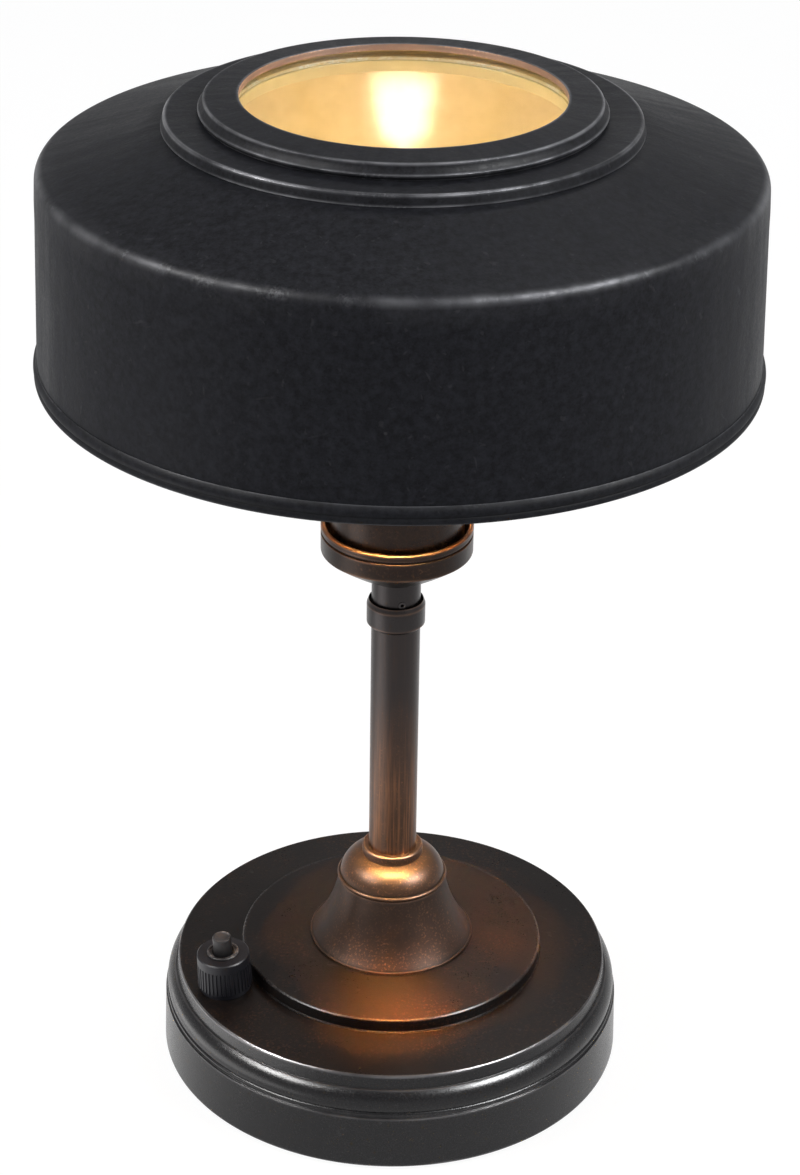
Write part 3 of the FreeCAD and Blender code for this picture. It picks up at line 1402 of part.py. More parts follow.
def make_switch_leads():
    """From the side of the terminal block, round the stem, to the tabs of the switch."""
    level = lead_level.value
    down = body_foot - terminal_height
    bends = [lead_wide_bend.value, lead_wide_bend.value, lead_tab_bend.value]
    shapes = []
    for side in (-1, 1):
        reach = terminal_offset * side
        out = switch_circle + down * sine(crown_angle) + reach * cosine(crown_angle)
        x, y = polar(out, switch_angle)
        tab = switch_level + down * cosine(crown_angle) - (reach + lead_radius) * sine(crown_angle)
        shift = side * lead_spacing.value * 2
        points = [
            Vector(-block_length.value / 2, block_offset.value + shift, level),
            Vector(-lead_side_x.value, block_offset.value + shift, level),
            Vector(-lead_turn_x.value - shift, lead_turn_y.value, level),
            Vector(x.value, y.value, level),
            Vector(x.value, y.value, tab.value),
        ]
        shapes.append(tube_along(points, bends, lead_radius.value))
    keep_leads("switch_leads", shapes)


# ---------------------------------------------------------------- build, check and write

def check_document():
    """Stop if any object failed or any piece has no valid shape."""
    for item in doc.Objects:
        if "Invalid" in item.State or "Error" in item.State:
            raise ValueError(f"{item.Name} failed: {item.State}")
    for piece in pieces:
        shape = piece.Shape
        if shape.isNull() or not shape.isValid() or not shape.Solids:
            raise ValueError(f"{piece.Label} has no valid solid")


make_base_casting()
make_base_fittings()
make_cord_inlet()
make_switch()
make_plunger()
make_foot()
make_tubes()
make_cup()
make_lampholder()
make_shade()
make_cap()
make_spider()
make_bulb()
make_wiring()
doc.recompute()
check_document()
os.makedirs("parts", exist_ok=True)
for piece in pieces:
    piece.Shape.exportStep(f"parts/{piece.Label}.step")
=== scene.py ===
import json
import math

import bpy
from mathutils import Matrix, Vector


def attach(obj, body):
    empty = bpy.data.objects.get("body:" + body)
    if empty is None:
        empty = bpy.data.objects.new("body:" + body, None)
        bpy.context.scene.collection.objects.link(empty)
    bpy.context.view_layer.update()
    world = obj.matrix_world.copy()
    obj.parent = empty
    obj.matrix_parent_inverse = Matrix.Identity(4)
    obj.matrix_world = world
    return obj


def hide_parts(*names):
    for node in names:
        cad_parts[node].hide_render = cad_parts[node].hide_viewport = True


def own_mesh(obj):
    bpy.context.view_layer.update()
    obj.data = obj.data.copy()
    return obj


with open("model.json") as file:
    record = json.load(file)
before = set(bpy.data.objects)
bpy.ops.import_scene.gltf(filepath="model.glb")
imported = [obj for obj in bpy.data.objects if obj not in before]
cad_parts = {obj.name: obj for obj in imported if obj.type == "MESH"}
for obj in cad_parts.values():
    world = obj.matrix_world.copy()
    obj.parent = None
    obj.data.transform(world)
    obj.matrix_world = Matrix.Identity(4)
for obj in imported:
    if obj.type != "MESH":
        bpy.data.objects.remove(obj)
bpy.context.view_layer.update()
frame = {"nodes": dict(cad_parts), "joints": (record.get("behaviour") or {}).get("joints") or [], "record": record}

nodes = frame["nodes"]
scene = bpy.context.scene
MM = 0.001


def add_object(name, data):
    """A new object with this data, in the scene."""
    made = bpy.data.objects.new(name, data)
    scene.collection.objects.link(made)
    return made


# ---------------------------------------------------------------- sections of turned pieces

ON_PLANE = 2e-6  # how far, in metres, a vertex of the section may lie off its plane
SHARP = math.radians(19)  # an outline that bends less than this is an arc, not a corner
STRAIGHT = 0.004  # an outline that bends less than this, in radians, is straight
SHORT_RUN = 0.12  # shorter runs of an arc, in mm, stay undivided
CORNER_SHARE = 0.42  # share of a run that the rounding of one corner may take
ROUND_STEPS = 4  # faces across a rounded corner
BANDS = (0.15, 0.4, 0.9, 1.8, 3.5)  # extra rings at these distances from a corner, in mm
BAND_SHARE = 0.8  # share of a run within which its extra rings lie
WORN_REACH = 0.45  # how far wear reaches from an outer corner, in mm
SUNK_REACH = 0.9  # how far the darkening reaches from an inner corner, in mm: painted shade on enamel, patina on bronze
FAR = 99  # distance in mm that stands for no corner at all
AXIS_RADIUS = 1e-4  # a ring smaller than this, in mm, is one vertex
FACE_AREA_WEIGHT = 60  # how much the larger faces lead the normals


def section_of(node, place=Matrix.Identity(4)):
    """Outline of a turned node as (radius, height) points in mm, with Z of place as its axis."""
    back = place.inverted()
    spots = {}
    for vertex in nodes[node].data.vertices:
        x, y, z = back @ vertex.co
        if abs(y) < ON_PLANE and x > -ON_PLANE:
            spots[vertex.index] = (round(max(x, 0.0) / MM, 3), round(z / MM, 3))
    links = {}
    for edge in nodes[node].data.edges:
        a, b = (spots.get(index) for index in edge.vertices)
        if a is not None and b is not None and a != b:
            links.setdefault(a, set()).add(b)
            links.setdefault(b, set()).add(a)
    ends = sorted((p for p in links if len(links[p]) == 1), key=lambda p: p[1])
    start = ends[0] if ends else min(links, key=lambda p: (p[1], p[0]))
    outline = [start]
    before, here = None, start
    while True:
        ahead = [p for p in sorted(links[here], reverse=True) if p != before]
        if not ahead or ahead[0] == start:
            break
        before, here = here, ahead[0]
        outline.append(here)
    if ends and outline[0][0] > 0:
        outline.insert(0, (0.0, outline[0][1]))
    if ends and outline[-1][0] > 0:
        outline.append((0.0, outline[-1][1]))
    area = sum(a[0] * b[1] - b[0] * a[1] for a, b in zip(outline, outline[1:] + outline[:1]))
    if area < 0:
        outline.reverse()
    return outline, not ends


def turn_at(before, here, after):
    """Change of direction at an outline point, in radians; positive where it is convex."""
    a = (here[0] - before[0], here[1] - before[1])
    b = (after[0] - here[0], after[1] - here[1])
    return math.atan2(a[0] * b[1] - a[1] * b[0], a[0] * b[0] + a[1] * b[1])


def gap(a, b):
    """Distance between two outline points."""
    return math.hypot(b[0] - a[0], b[1] - a[1])


def toward(a, b, reach):
    """The point that lies reach away from a, towards b."""
    length = gap(a, b)
    return (a[0] + (b[0] - a[0]) * reach / length, a[1] + (b[1] - a[1]) * reach / length)


def smooth_runs(outline, closed):
    """Halve the runs of an outline's arcs, with the new points on the arc."""
    count = len(outline)
    result = []
    for i, a in enumerate(outline):
        result.append(a)
        if i == count - 1 and not closed:
            break
        b = outline[(i + 1) % count]
        before = outline[i - 1] if closed or i > 0 else None
        after = outline[(i + 2) % count] if closed or i + 2 < count else None
        bend_a = turn_at(before, a, b) if before else math.inf
        bend_b = turn_at(a, b, after) if after else math.inf
        soft_a = STRAIGHT < abs(bend_a) < SHARP
        soft_b = STRAIGHT < abs(bend_b) < SHARP
        length = gap(a, b)
        if not (soft_a or soft_b) or length < SHORT_RUN:
            continue
        if not soft_a:
            bend_a = bend_b
        if not soft_b:
            bend_b = bend_a
        mean_bend = (bend_a + bend_b) / 2
        rise = length * mean_bend / 8
        side = ((b[1] - a[1]) / length, (a[0] - b[0]) / length)
        result.append(((a[0] + b[0]) / 2 + side[0] * rise, (a[1] + b[1]) / 2 + side[1] * rise))
    return result


def same_corner(corners, index):
    """Whether a point and the next one lie on the same rounded corner."""
    return any(first <= index < last for first, last, _ in corners)


def round_corners(outline, closed, radius):
    """The outline with its sharp corners rounded, and each corner's (first, last, convex)."""
    count = len(outline)
    corners, line = [], []
    for i, here in enumerate(outline):
        before, after = outline[i - 1], outline[(i + 1) % count]
        bend = turn_at(before, here, after) if closed or 0 < i < count - 1 else 0
        if abs(bend) < SHARP:
            line.append(here)
            continue
        room = CORNER_SHARE * min(gap(before, here), gap(here, after))
        reach = min(radius * math.tan(abs(bend) / 2), room)
        start = toward(here, before, reach)
        end = toward(here, after, reach)
        first = len(line)
        for step in range(ROUND_STEPS + 1):
            t = step / ROUND_STEPS
            k = (1 - t) ** 2, 2 * t * (1 - t), t ** 2
            line.append(tuple(k[0] * start[c] + k[1] * here[c] + k[2] * end[c] for c in (0, 1)))
        corners.append((first, len(line) - 1, bend > 0))
    return line, corners


def rounded_outline(outline, closed, radius):
    """Round the corners and add rings beside them.

    Returns points of (r, z, closeness to an outer corner, closeness to an inner corner).
    """
    line, corners = round_corners(outline, closed, radius)
    marks = {index: convex for first, last, convex in corners
             for index in range(first, last + 1)}
    spread = []
    for i, here in enumerate(line):
        spread.append(here)
        if i == len(line) - 1 and not closed:
            break
        following = (i + 1) % len(line)
        ahead = line[following]
        length = gap(here, ahead)
        from_corner, to_corner = i in marks, following in marks
        cuts = set()
        for reach in BANDS:
            if from_corner and not to_corner and reach < length * BAND_SHARE:
                cuts.add(reach)
            if to_corner and not from_corner and reach < length * BAND_SHARE:
                cuts.add(length - reach)
            if from_corner and to_corner and reach < length / 2 and not same_corner(corners, i):
                cuts.update((reach, length - reach))
        spread.extend(toward(here, ahead, cut) for cut in sorted(cuts))
    outer = [p for i, p in enumerate(line) if marks.get(i) is True]
    inner = [p for i, p in enumerate(line) if marks.get(i) is False]
    points = []
    for p in spread:
        near_outer = min((gap(p, q) for q in outer), default=FAR)
        near_inner = min((gap(p, q) for q in inner), default=FAR)
        points.append((p[0], p[1], math.exp(-(near_outer / WORN_REACH) ** 2),
                       math.exp(-(near_inner / SUNK_REACH) ** 2)))
    return points


def revolve(name, node, place=Matrix.Identity(4), radius=0.3, around=192, sides=None, crest=None):
    """A smooth turned piece from the section of a CAD node, which it replaces.

    radius rounds the corners, in mm, and around is the number of segments.
    sides(point, outward r, outward z) picks the material index.
    crest is (r, z, width, amount) of a soft shoulder that is rubbed like an edge; its lighter metal band is partly
    wear and partly a painted highlight.
    """
    outline, closed = section_of(node, place)
    points = rounded_outline(smooth_runs(outline, closed), closed, radius)
    if crest:
        r, z, width, amount = crest
        points = [(p[0], p[1], max(p[2], amount * math.exp(-(gap(p, (r, z)) / width) ** 2)), p[3])
                  for p in points]
    return spin(name, points, closed, place, around, sides, node)


def spin(name, points, closed, place, around, sides, node):
    """Turn the points about Z of place into a mesh with the wear of its outer corners and the darkening of its
    inner ones, which is painted shade on enamel and patina on bronze.
    """
    rows = len(points)
    verts, faces, which, outer, inner, rings = [], [], [], [], [], []
    for r, z, convex, concave in points:
        first = len(verts)
        on_axis = r < AXIS_RADIUS
        segments = 1 if on_axis else around
        rings.append([first] * around if on_axis else list(range(first, first + around)))
        for k in range(segments):
            angle = math.tau * k / around
            reach = 0 if on_axis else r
            verts.append((reach * math.cos(angle) * MM, reach * math.sin(angle) * MM, z * MM))
            outer.append(convex)
            inner.append(concave)
    for i in range(rows if closed else rows - 1):
        a, b = rings[i], rings[(i + 1) % rows]
        here, ahead = points[i], points[(i + 1) % rows]
        index = sides(here, ahead[1] - here[1], here[0] - ahead[0]) if sides else 0
        for k in range(around):
            n = (k + 1) % around
            face = [a[k], a[n], b[n], b[k]]
            face = [v for j, v in enumerate(face) if v != face[j - 1]]
            if len(face) > 2:
                faces.append(face)
                which.append(index)
    mesh = bpy.data.meshes.new(name)
    mesh.from_pydata([place @ Vector(v) for v in verts], [], faces)
    mesh.polygons.foreach_set("use_smooth", [True] * len(faces))
    mesh.polygons.foreach_set("material_index", which)
    for label, values in (("worn", outer), ("sunk", inner)):
        mesh.attributes.new(label, "FLOAT", "POINT").data.foreach_set("value", values)
    mesh.update()
    piece = add_object(name, mesh)
    even = piece.modifiers.new("even_normals", "WEIGHTED_NORMAL")
    even.keep_sharp = False
    even.weight = FACE_AREA_WEIGHT
    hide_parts(node)
    return piece


# ---------------------------------------------------------------- node helpers

def scaled(colour, share):
    """The colour with each channel times share."""
    return tuple(c * share for c in colour)


class Tree:
    """Short calls for building the nodes of a material or of the world."""

    def __init__(self, owner, output="ShaderNodeOutputMaterial"):
        self.owner = owner
        owner.use_nodes = True
        self.nodes = owner.node_tree.nodes
        self.links = owner.node_tree.links
        self.nodes.clear()
        self.out = self.add(output)
        self.coords = self.add("ShaderNodeTexCoord").outputs["Object"]

    def add(self, kind, inputs=(), **values):
        node = self.nodes.new(kind)
        for key, value in values.items():
            setattr(node, key, value)
        for key, value in dict(inputs).items():
            self.feed(node.inputs[key], value)
        return node

    def feed(self, socket, value):
        """Link a socket to the input, or set a number, vector or colour on it."""
        if isinstance(value, bpy.types.NodeSocket):
            self.links.new(value, socket)
        elif value is not None:
            holds_list = hasattr(socket.default_value, "__len__")
            if holds_list and hasattr(value, "__len__") and len(value) == 3:
                value = tuple(value) + ((1.0,) if len(socket.default_value) == 4 else ())
            socket.default_value = value

    def surface(self, shader):
        self.links.new(shader, self.out.inputs["Surface"])
        return self.owner

    def noise(self, scale, detail, rough, vector=None, distortion=0.0):
        node = self.add("ShaderNodeTexNoise", {
            "Vector": vector or self.coords, "Scale": scale, "Detail": detail,
            "Roughness": rough, "Distortion": distortion})
        return node.outputs["Fac"]

    def cells(self, scale):
        """Distance to the nearest of scattered points."""
        node = self.add("ShaderNodeTexVoronoi", {"Vector": self.coords, "Scale": scale},
                        feature="F1")
        return node.outputs["Distance"]

    def vector(self, operation, a, b=None):
        node = self.add("ShaderNodeVectorMath", {0: a, 1: b}, operation=operation)
        return node.outputs[0]

    def stretch(self, x, y, z, vector=None):
        return self.vector("MULTIPLY", vector or self.coords, (x, y, z))

    def round_about(self, angular, upward):
        """Coordinates along the turning marks: a circle of radius angular, and scaled height."""
        circle = self.vector("NORMALIZE", self.stretch(1, 1, 0))
        return self.vector("ADD", self.stretch(angular, angular, 0, circle),
                           self.stretch(0, 0, upward))

    def levels(self, value, low, high, to_low=0.0, to_high=1.0):
        node = self.add("ShaderNodeMapRange", {
            "Value": value, "From Min": low, "From Max": high,
            "To Min": to_low, "To Max": to_high}, clamp=True)
        return node.outputs["Result"]

    def math(self, operation, a, b, clamp=False):
        return self.add("ShaderNodeMath", {0: a, 1: b}, operation=operation,
                        use_clamp=clamp).outputs[0]

    def times(self, a, b, clamp=False):
        return self.math("MULTIPLY", a, b, clamp)

    def plus(self, a, b):
        return self.math("ADD", a, b)

    def mix(self, factor, a, b):
        """Colour a, or b where factor is 1."""
        return self.add("ShaderNodeMix", {"Factor": factor, 6: a, 7: b},
                        data_type="RGBA").outputs[2]

    def blend(self, factor, a, b):
        """Shader a, or b where factor is 1."""
        return self.add("ShaderNodeMixShader", {0: factor, 1: a, 2: b}).outputs[0]

    def attribute(self, name):
        return self.add("ShaderNodeAttribute", attribute_name=name).outputs["Fac"]

    def bump(self, height, distance, strength):
        node = self.add("ShaderNodeBump", {
            "Strength": strength, "Distance": distance, "Height": height})
        return node.outputs["Normal"]

    def principled(self, **inputs):
        named = {key.replace("_", " "): value for key, value in inputs.items()}
        return self.add("ShaderNodeBsdfPrincipled", named).outputs["BSDF"]

    def seen_rays(self):
        """1 for the rays that show the background: camera, glossy and transmission."""
        path = self.add("ShaderNodeLightPath").outputs
        first = self.math("MAXIMUM", path["Is Camera Ray"], path["Is Glossy Ray"])
        return self.math("MAXIMUM", first, path["Is Transmission Ray"])


def new_tree(name):
    """An empty node tree in a new material."""
    return Tree(bpy.data.materials.new(name))


# ---------------------------------------------------------------- materials

def worn_share(t, amount):
    """Where an outer edge is rubbed: broken up along the edge by noise."""
    patches = t.levels(t.noise(55, 4, 0.65), 0.45, 0.65)
    grain = t.levels(t.noise(700, 3, 0.7), 0.35, 0.6)
    return t.times(t.attribute("worn"), t.times(t.times(patches, grain), amount), clamp=True)


def scratches(t, angle=0.6, crossing=1.3, stretched=9, low=0.70):
    """Thin, long scratches in two crossing directions, from stretched noise."""
    found = []
    for turn in (angle, angle + crossing):
        turned = t.add("ShaderNodeVectorRotate", {
            "Vector": t.coords, "Axis": (0.3, 0.5, 0.8), "Angle": turn}).outputs[0]
        line = t.noise(34, 2, 0.5, t.stretch(1, stretched, stretched, turned), 0.4)
        found.append(t.levels(line, low, low + 0.05))
    return t.math("MAXIMUM", *found)


RUST = (0.075, 0.034, 0.016)
POWDER_BUMP = 0.00009  # height of the powder grain, in metres


def make_enamel(name, colour, dust, edge, rough, shine, grain, polish, wear, blotch,
                rust=0.0, dents=0.0):
    """Satin stove enamel over metal: powder grain, soft mottling, scratches, rubbed edges, and painted shade in
    its inner corners.

    dust is the colour of the mottling, edge of the metal under the paint. grain is the scale of
    the powder, polish how metallic a rubbed edge is, and wear how much of it is bare. blotch is
    the share of lighter spots, rust of brown flecks, and dents the height of slow waves.
    """
    t = new_tree(name)
    mottle = t.noise(grain * 0.7, 3, 0.6)
    cloud = t.noise(26, 4, 0.6)
    spots = t.levels(t.noise(300, 4, 0.75), 0.38, 0.68)
    worn = worn_share(t, wear)
    shiny = t.times(t.attribute("worn"),
                    t.levels(t.noise(24, 3, 0.6), 0.42, 0.62, polish * 0.2, polish))
    nicks = t.times(t.levels(t.cells(48), 0.050, 0.030),
                    t.levels(t.noise(11, 2, 0.5), 0.58, 0.62))
    scuffs = t.math("MAXIMUM", t.times(scratches(t), 0.03), t.times(nicks, 0.16))

    base = t.mix(t.levels(mottle, 0.35, 0.72), colour, dust)
    base = t.mix(t.times(t.levels(cloud, 0.4, 0.75), 0.30), base, dust)
    base = t.mix(t.times(spots, blotch), base, scaled(dust, 2.2))
    if rust:
        flecks = t.times(t.levels(t.noise(800, 3, 0.7), 0.54, 0.64),
                         t.levels(t.noise(19, 3, 0.6), 0.45, 0.66))
        base = t.mix(t.times(flecks, rust), base, RUST)
    base = t.mix(scuffs, base, edge)
    base = t.mix(t.math("MAXIMUM", worn, shiny), base, edge)
    # painted shade: the paint turns to half its colour in inner corners, where shade falls
    base = t.mix(t.times(t.attribute("sunk"), 0.5), base, scaled(colour, 0.5))

    roughness = t.plus(t.levels(mottle, 0.3, 0.7, rough - 0.04, rough + 0.05),
                       t.levels(cloud, 0.3, 0.7, -0.03, 0.04))
    streaks = t.levels(t.noise(1.0, 4, 0.65, t.round_about(15.0, 7.0)), 0.35, 0.68)
    roughness = t.plus(roughness, t.times(t.plus(spots, streaks), blotch * 0.10))
    roughness = t.math("SUBTRACT", roughness, t.times(t.attribute("worn"), rough * 0.3))

    height = t.plus(t.noise(grain, 2, 0.5), t.times(t.noise(grain * 3.1, 2, 0.6), 0.45))
    height = t.math("SUBTRACT", height, t.times(scuffs, 0.4))
    if dents:
        height = t.plus(height, t.times(t.noise(150, 3, 0.6), dents))
    return t.surface(t.principled(
        Base_Color=base, Metallic=shiny, Roughness=roughness, Specular_IOR_Level=shine,
        Normal=t.bump(height, POWDER_BUMP, 0.45)))


PATINA_DARK = (0.026, 0.0185, 0.0160)
PATINA_LIGHT = (0.042, 0.0285, 0.0235)
PATINA_FADED = (0.028, 0.0245, 0.0245)
PATINA_SUNK = (0.010, 0.007, 0.006)
BRONZE_EDGE = (0.36, 0.21, 0.14)
PATINA_BUMP = 0.00007  # height of the patina's grain, in metres
FADE_START, FADE_END = 0.120, 0.190  # heights in metres over which a tube turns from copper-flecked to grey, going up


def make_bronze(name, rough, tone, flecked, streaked=0.0, greyer=0.0, warmth=0.0):
    """Dark patina on bronze, speckled with copper and rubbed bright on the edges.

    tone is how light the patina is and warmth how red. flecked and streaked are the shares of
    copper in flecks and in streaks along a tube, and greyer how far it fades upwards.
    """
    t = new_tree(name)
    streaks = t.noise(1.0, 4, 0.62, t.round_about(9.0, 16.0))
    fine = t.noise(1.0, 3, 0.6, t.round_about(30.0, 60.0))
    speck = t.noise(900, 4, 0.7)
    cloud = t.noise(34, 4, 0.6)
    rub = t.times(t.levels(streaks, 0.46, 0.70), t.levels(fine, 0.30, 0.64))
    flecks = t.times(t.levels(speck, 0.54, 0.70), t.levels(cloud, 0.42, 0.66, 0.15, 0.9))
    rub = t.math("MAXIMUM", t.times(rub, streaked), t.times(flecks, flecked))
    height = t.add("ShaderNodeSeparateXYZ", {0: t.coords}).outputs[2]
    faded = t.levels(t.plus(height, t.levels(streaks, 0.3, 0.7, -0.02, 0.02)),
                     FADE_START, FADE_END, 0.0, greyer)
    rub = t.times(rub, t.math("SUBTRACT", 1.0, faded))

    tint = (tone * (1 + 0.5 * warmth), tone, tone * (1 - 0.45 * warmth))
    dark = t.mix(t.levels(cloud, 0.35, 0.7), tuple(c * k for c, k in zip(PATINA_DARK, tint)),
                 tuple(c * k for c, k in zip(PATINA_LIGHT, tint)))
    dark = t.mix(faded, dark, PATINA_FADED)
    base = t.mix(rub, dark, (0.23 + 0.12 * warmth, 0.105 + 0.03 * warmth, 0.050))
    shiny = t.times(t.attribute("worn"), t.levels(t.noise(40, 3, 0.6), 0.35, 0.65, 0.05, 0.28))
    base = t.mix(shiny, base, BRONZE_EDGE)
    base = t.mix(t.times(t.attribute("sunk"), 0.7), base, PATINA_SUNK)

    roughness = t.plus(t.levels(speck, 0.3, 0.7, rough - 0.04, rough + 0.08),
                       t.levels(cloud, 0.3, 0.7, -0.03, 0.05))
    normal = t.bump(t.plus(t.times(speck, 0.6), t.noise(1700, 2, 0.5)), PATINA_BUMP, 0.4)
    return t.surface(t.principled(Base_Color=base, Metallic=0.85, Roughness=roughness,
                                  Normal=normal))


def make_cream(name):
    """Semi-gloss cream enamel inside the shade."""
    t = new_tree(name)
    base = t.mix(t.levels(t.noise(120, 3, 0.55), 0.35, 0.7),
                 (0.78, 0.64, 0.28), (0.72, 0.58, 0.245))
    normal = t.bump(t.noise(700, 2, 0.5), 0.00003, 0.3)
    return t.surface(t.principled(Base_Color=base, Roughness=0.11, Specular_IOR_Level=0.5,
                                  Normal=normal))


def make_glass(name, tint, rough):
    """Thin clear glass: it passes light straight through and reflects at its surface."""
    t = new_tree(name)
    smear = t.levels(t.noise(40, 3, 0.5), 0.35, 0.7, rough, rough + 0.05)
    clear = t.add("ShaderNodeBsdfTransparent", {"Color": tint}).outputs[0]
    gloss = t.add("ShaderNodeBsdfGlossy", {"Color": (1, 1, 1), "Roughness": smear}).outputs[0]
    fresnel = t.add("ShaderNodeFresnel", {"IOR": 1.45}).outputs[0]
    front = t.math("SUBTRACT", 1.0, t.add("ShaderNodeNewGeometry").outputs["Backfacing"])
    return t.surface(t.blend(t.times(t.times(fresnel, front), 0.6), clear, gloss))


def make_glow(name, strength):
    """Surface that glows: the light strips, and the glass mount that stands between them; the mount's glow is
    painted light, as it gives no light of its own.
    """
    t = new_tree(name)
    beads = t.levels(t.noise(900, 2, 0.5), 0.3, 0.7, 0.8, 1.0)
    warm = t.mix(beads, (1.0, 0.64, 0.42), (1.0, 0.70, 0.48))
    return t.surface(t.add("ShaderNodeEmission", {"Color": warm, "Strength": strength}).outputs[0])


def make_felt(name):
    """Dark green felt with its fibres."""
    t = new_tree(name)
    fibres = t.noise(1400, 5, 0.7, None, 1.5)
    base = t.mix(fibres, (0.020, 0.042, 0.026), (0.05, 0.085, 0.055))
    return t.surface(t.principled(Base_Color=base, Roughness=0.95, Sheen_Weight=0.35,
                                  Normal=t.bump(fibres, 0.0006, 0.7)))


def make_metal(name, colour, rough, stain):
    """Plain metal with turning marks, a little stain and rubbed edges."""
    t = new_tree(name)
    marks = t.noise(1.0, 3, 0.6, t.stretch(120, 120, 2600))
    spots = t.noise(160, 4, 0.6)
    stained = scaled(scaled(colour, 1 - stain), 0.6)
    rubbed = tuple(min(1, c * 1.5 + 0.08) for c in colour)
    base = t.mix(t.levels(spots, 0.42, 0.7, 0, stain), colour, stained)
    base = t.mix(worn_share(t, 1.2), base, rubbed)
    roughness = t.plus(t.levels(marks, 0.3, 0.7, rough - 0.06, rough + 0.08),
                       t.levels(spots, 0.4, 0.7, 0, 0.06))
    return t.surface(t.principled(Base_Color=base, Metallic=1.0, Roughness=roughness,
                                  Normal=t.bump(marks, 0.00003, 0.4)))


def make_moulded(name, colour, edge, rough, shine=0.5):
    """Moulded or dipped piece with a fine skin."""
    t = new_tree(name)
    skin = t.noise(800, 3, 0.6)
    base = t.mix(t.levels(t.noise(60, 3, 0.5), 0.4, 0.7, 0, 0.6), colour, edge)
    base = t.mix(worn_share(t, 1.0), base, tuple(min(1, c * 3) for c in edge))
    return t.surface(t.principled(
        Base_Color=base, Roughness=t.levels(skin, 0.3, 0.7, rough - 0.04, rough + 0.06),
        Specular_IOR_Level=shine, Normal=t.bump(skin, 0.00006, 0.4)))


SHADE_BLACK = dict(colour=(0.0034, 0.0036, 0.0052), dust=(0.0088, 0.0092, 0.0118),
                   edge=(0.42, 0.42, 0.44), shine=0.078, grain=1300, blotch=0.85)
RECIPES = {
    "base_paint": (make_enamel, dict(
        colour=(0.0058, 0.0056, 0.0070), dust=(0.0108, 0.0102, 0.0116), edge=(0.42, 0.41, 0.42),
        rough=0.23, shine=0.30, grain=1500, polish=0.40, wear=0.4, blotch=0.15)),
    # satin_paint: its brown tint is partly painted warm glow from inside the shade on the top of the base; its
    # rust flecks are real
    "satin_paint": (make_enamel, dict(
        colour=(0.0048, 0.0040, 0.0042), dust=(0.0090, 0.0066, 0.0060), edge=(0.42, 0.41, 0.42),
        rough=0.30, shine=0.13, grain=1500, polish=0.05, wear=0.15, blotch=0.20, rust=0.6)),
    "shade_paint": (make_enamel, dict(SHADE_BLACK, rough=0.43, polish=0.42, wear=0.4, dents=5.0)),
    "hem_paint": (make_enamel, dict(SHADE_BLACK, rough=0.50, polish=0.12, wear=0.2, dents=2.0)),
    "bronze": (make_bronze, dict(rough=0.28, tone=0.62, flecked=0.30)),
    "bronze_bell": (make_bronze, dict(rough=0.36, tone=0.85, flecked=0.62, warmth=0.25)),
    # bronze_dome: a lighter, warmer copy with more copper flecks; the flecks are the bronze's own, and the extra
    # warmth and lightness paint in the warm glow on the dome and ring
    "bronze_dome": (make_bronze, dict(rough=0.38, tone=1.15, flecked=0.9, warmth=0.55)),
    # bronze_cup: a darker copy of the bronze, painted shade for the cup under the shade
    "bronze_cup": (make_bronze, dict(rough=0.33, tone=0.54, flecked=0.30)),
    "bronze_grey": (make_bronze, dict(rough=0.30, tone=0.8, flecked=0.25, greyer=1.0)),
    "bronze_tube": (make_bronze, dict(rough=0.33, tone=1.45, flecked=0.6, streaked=1.0,
                                      greyer=0.95, warmth=0.45)),
    "cream": (make_cream, {}),
    "clear_glass": (make_glass, dict(tint=(0.97, 0.975, 0.96), rough=0.02)),
    "light_strip": (make_glow, dict(strength=118.0)),
    # the glass mount glows as painted light; it is no light source
    "lit_mount": (make_glow, dict(strength=90.0)),
    "felt": (make_felt, {}),
    "steel": (make_metal, dict(colour=(0.56, 0.57, 0.58), rough=0.34, stain=0.10)),
    "spring_steel": (make_metal, dict(colour=(0.44, 0.44, 0.46), rough=0.30, stain=0.12)),
    "gunmetal": (make_metal, dict(colour=(0.055, 0.050, 0.050), rough=0.34, stain=0.30)),
    "brass": (make_metal, dict(colour=(0.66, 0.44, 0.17), rough=0.30, stain=0.25)),
    "bulb_metal": (make_metal, dict(colour=(0.72, 0.72, 0.73), rough=0.28, stain=0.10)),
    "cast_iron": (make_metal, dict(colour=(0.10, 0.10, 0.105), rough=0.62, stain=0.50)),
    "switch_black": (make_moulded, dict(colour=(0.010, 0.010, 0.014), edge=(0.024, 0.023, 0.028),
                                        rough=0.42, shine=0.18)),
    "button_black": (make_moulded, dict(colour=(0.010, 0.009, 0.010), edge=(0.10, 0.095, 0.095),
                                        rough=0.46, shine=0.18)),
    "holder_black": (make_moulded, dict(colour=(0.016, 0.015, 0.014), edge=(0.035, 0.033, 0.03),
                                        rough=0.30)),
    # the bezel's lip above the glass: pinkish brown that paints in the warm light falling on it from inside the
    # shade
    "bare_lip": (make_moulded, dict(colour=(0.25, 0.150, 0.105), edge=(0.19, 0.11, 0.07),
                                    rough=0.42)),
    # the lens gasket: pale cream-yellow that paints in the warm light shining through and onto it
    "clear_seal": (make_moulded, dict(colour=(0.80, 0.67, 0.34), edge=(0.74, 0.61, 0.29),
                                      rough=0.35)),
    "rubber": (make_moulded, dict(colour=(0.013, 0.013, 0.013), edge=(0.03, 0.03, 0.03),
                                  rough=0.65)),
    "porcelain": (make_moulded, dict(colour=(0.80, 0.78, 0.72), edge=(0.72, 0.69, 0.62),
                                     rough=0.14)),
    "lead_brown": (make_moulded, dict(colour=(0.14, 0.055, 0.03), edge=(0.10, 0.04, 0.02),
                                      rough=0.42)),
}
MATERIALS = {name: make(name, **values) for name, (make, values) in RECIPES.items()}

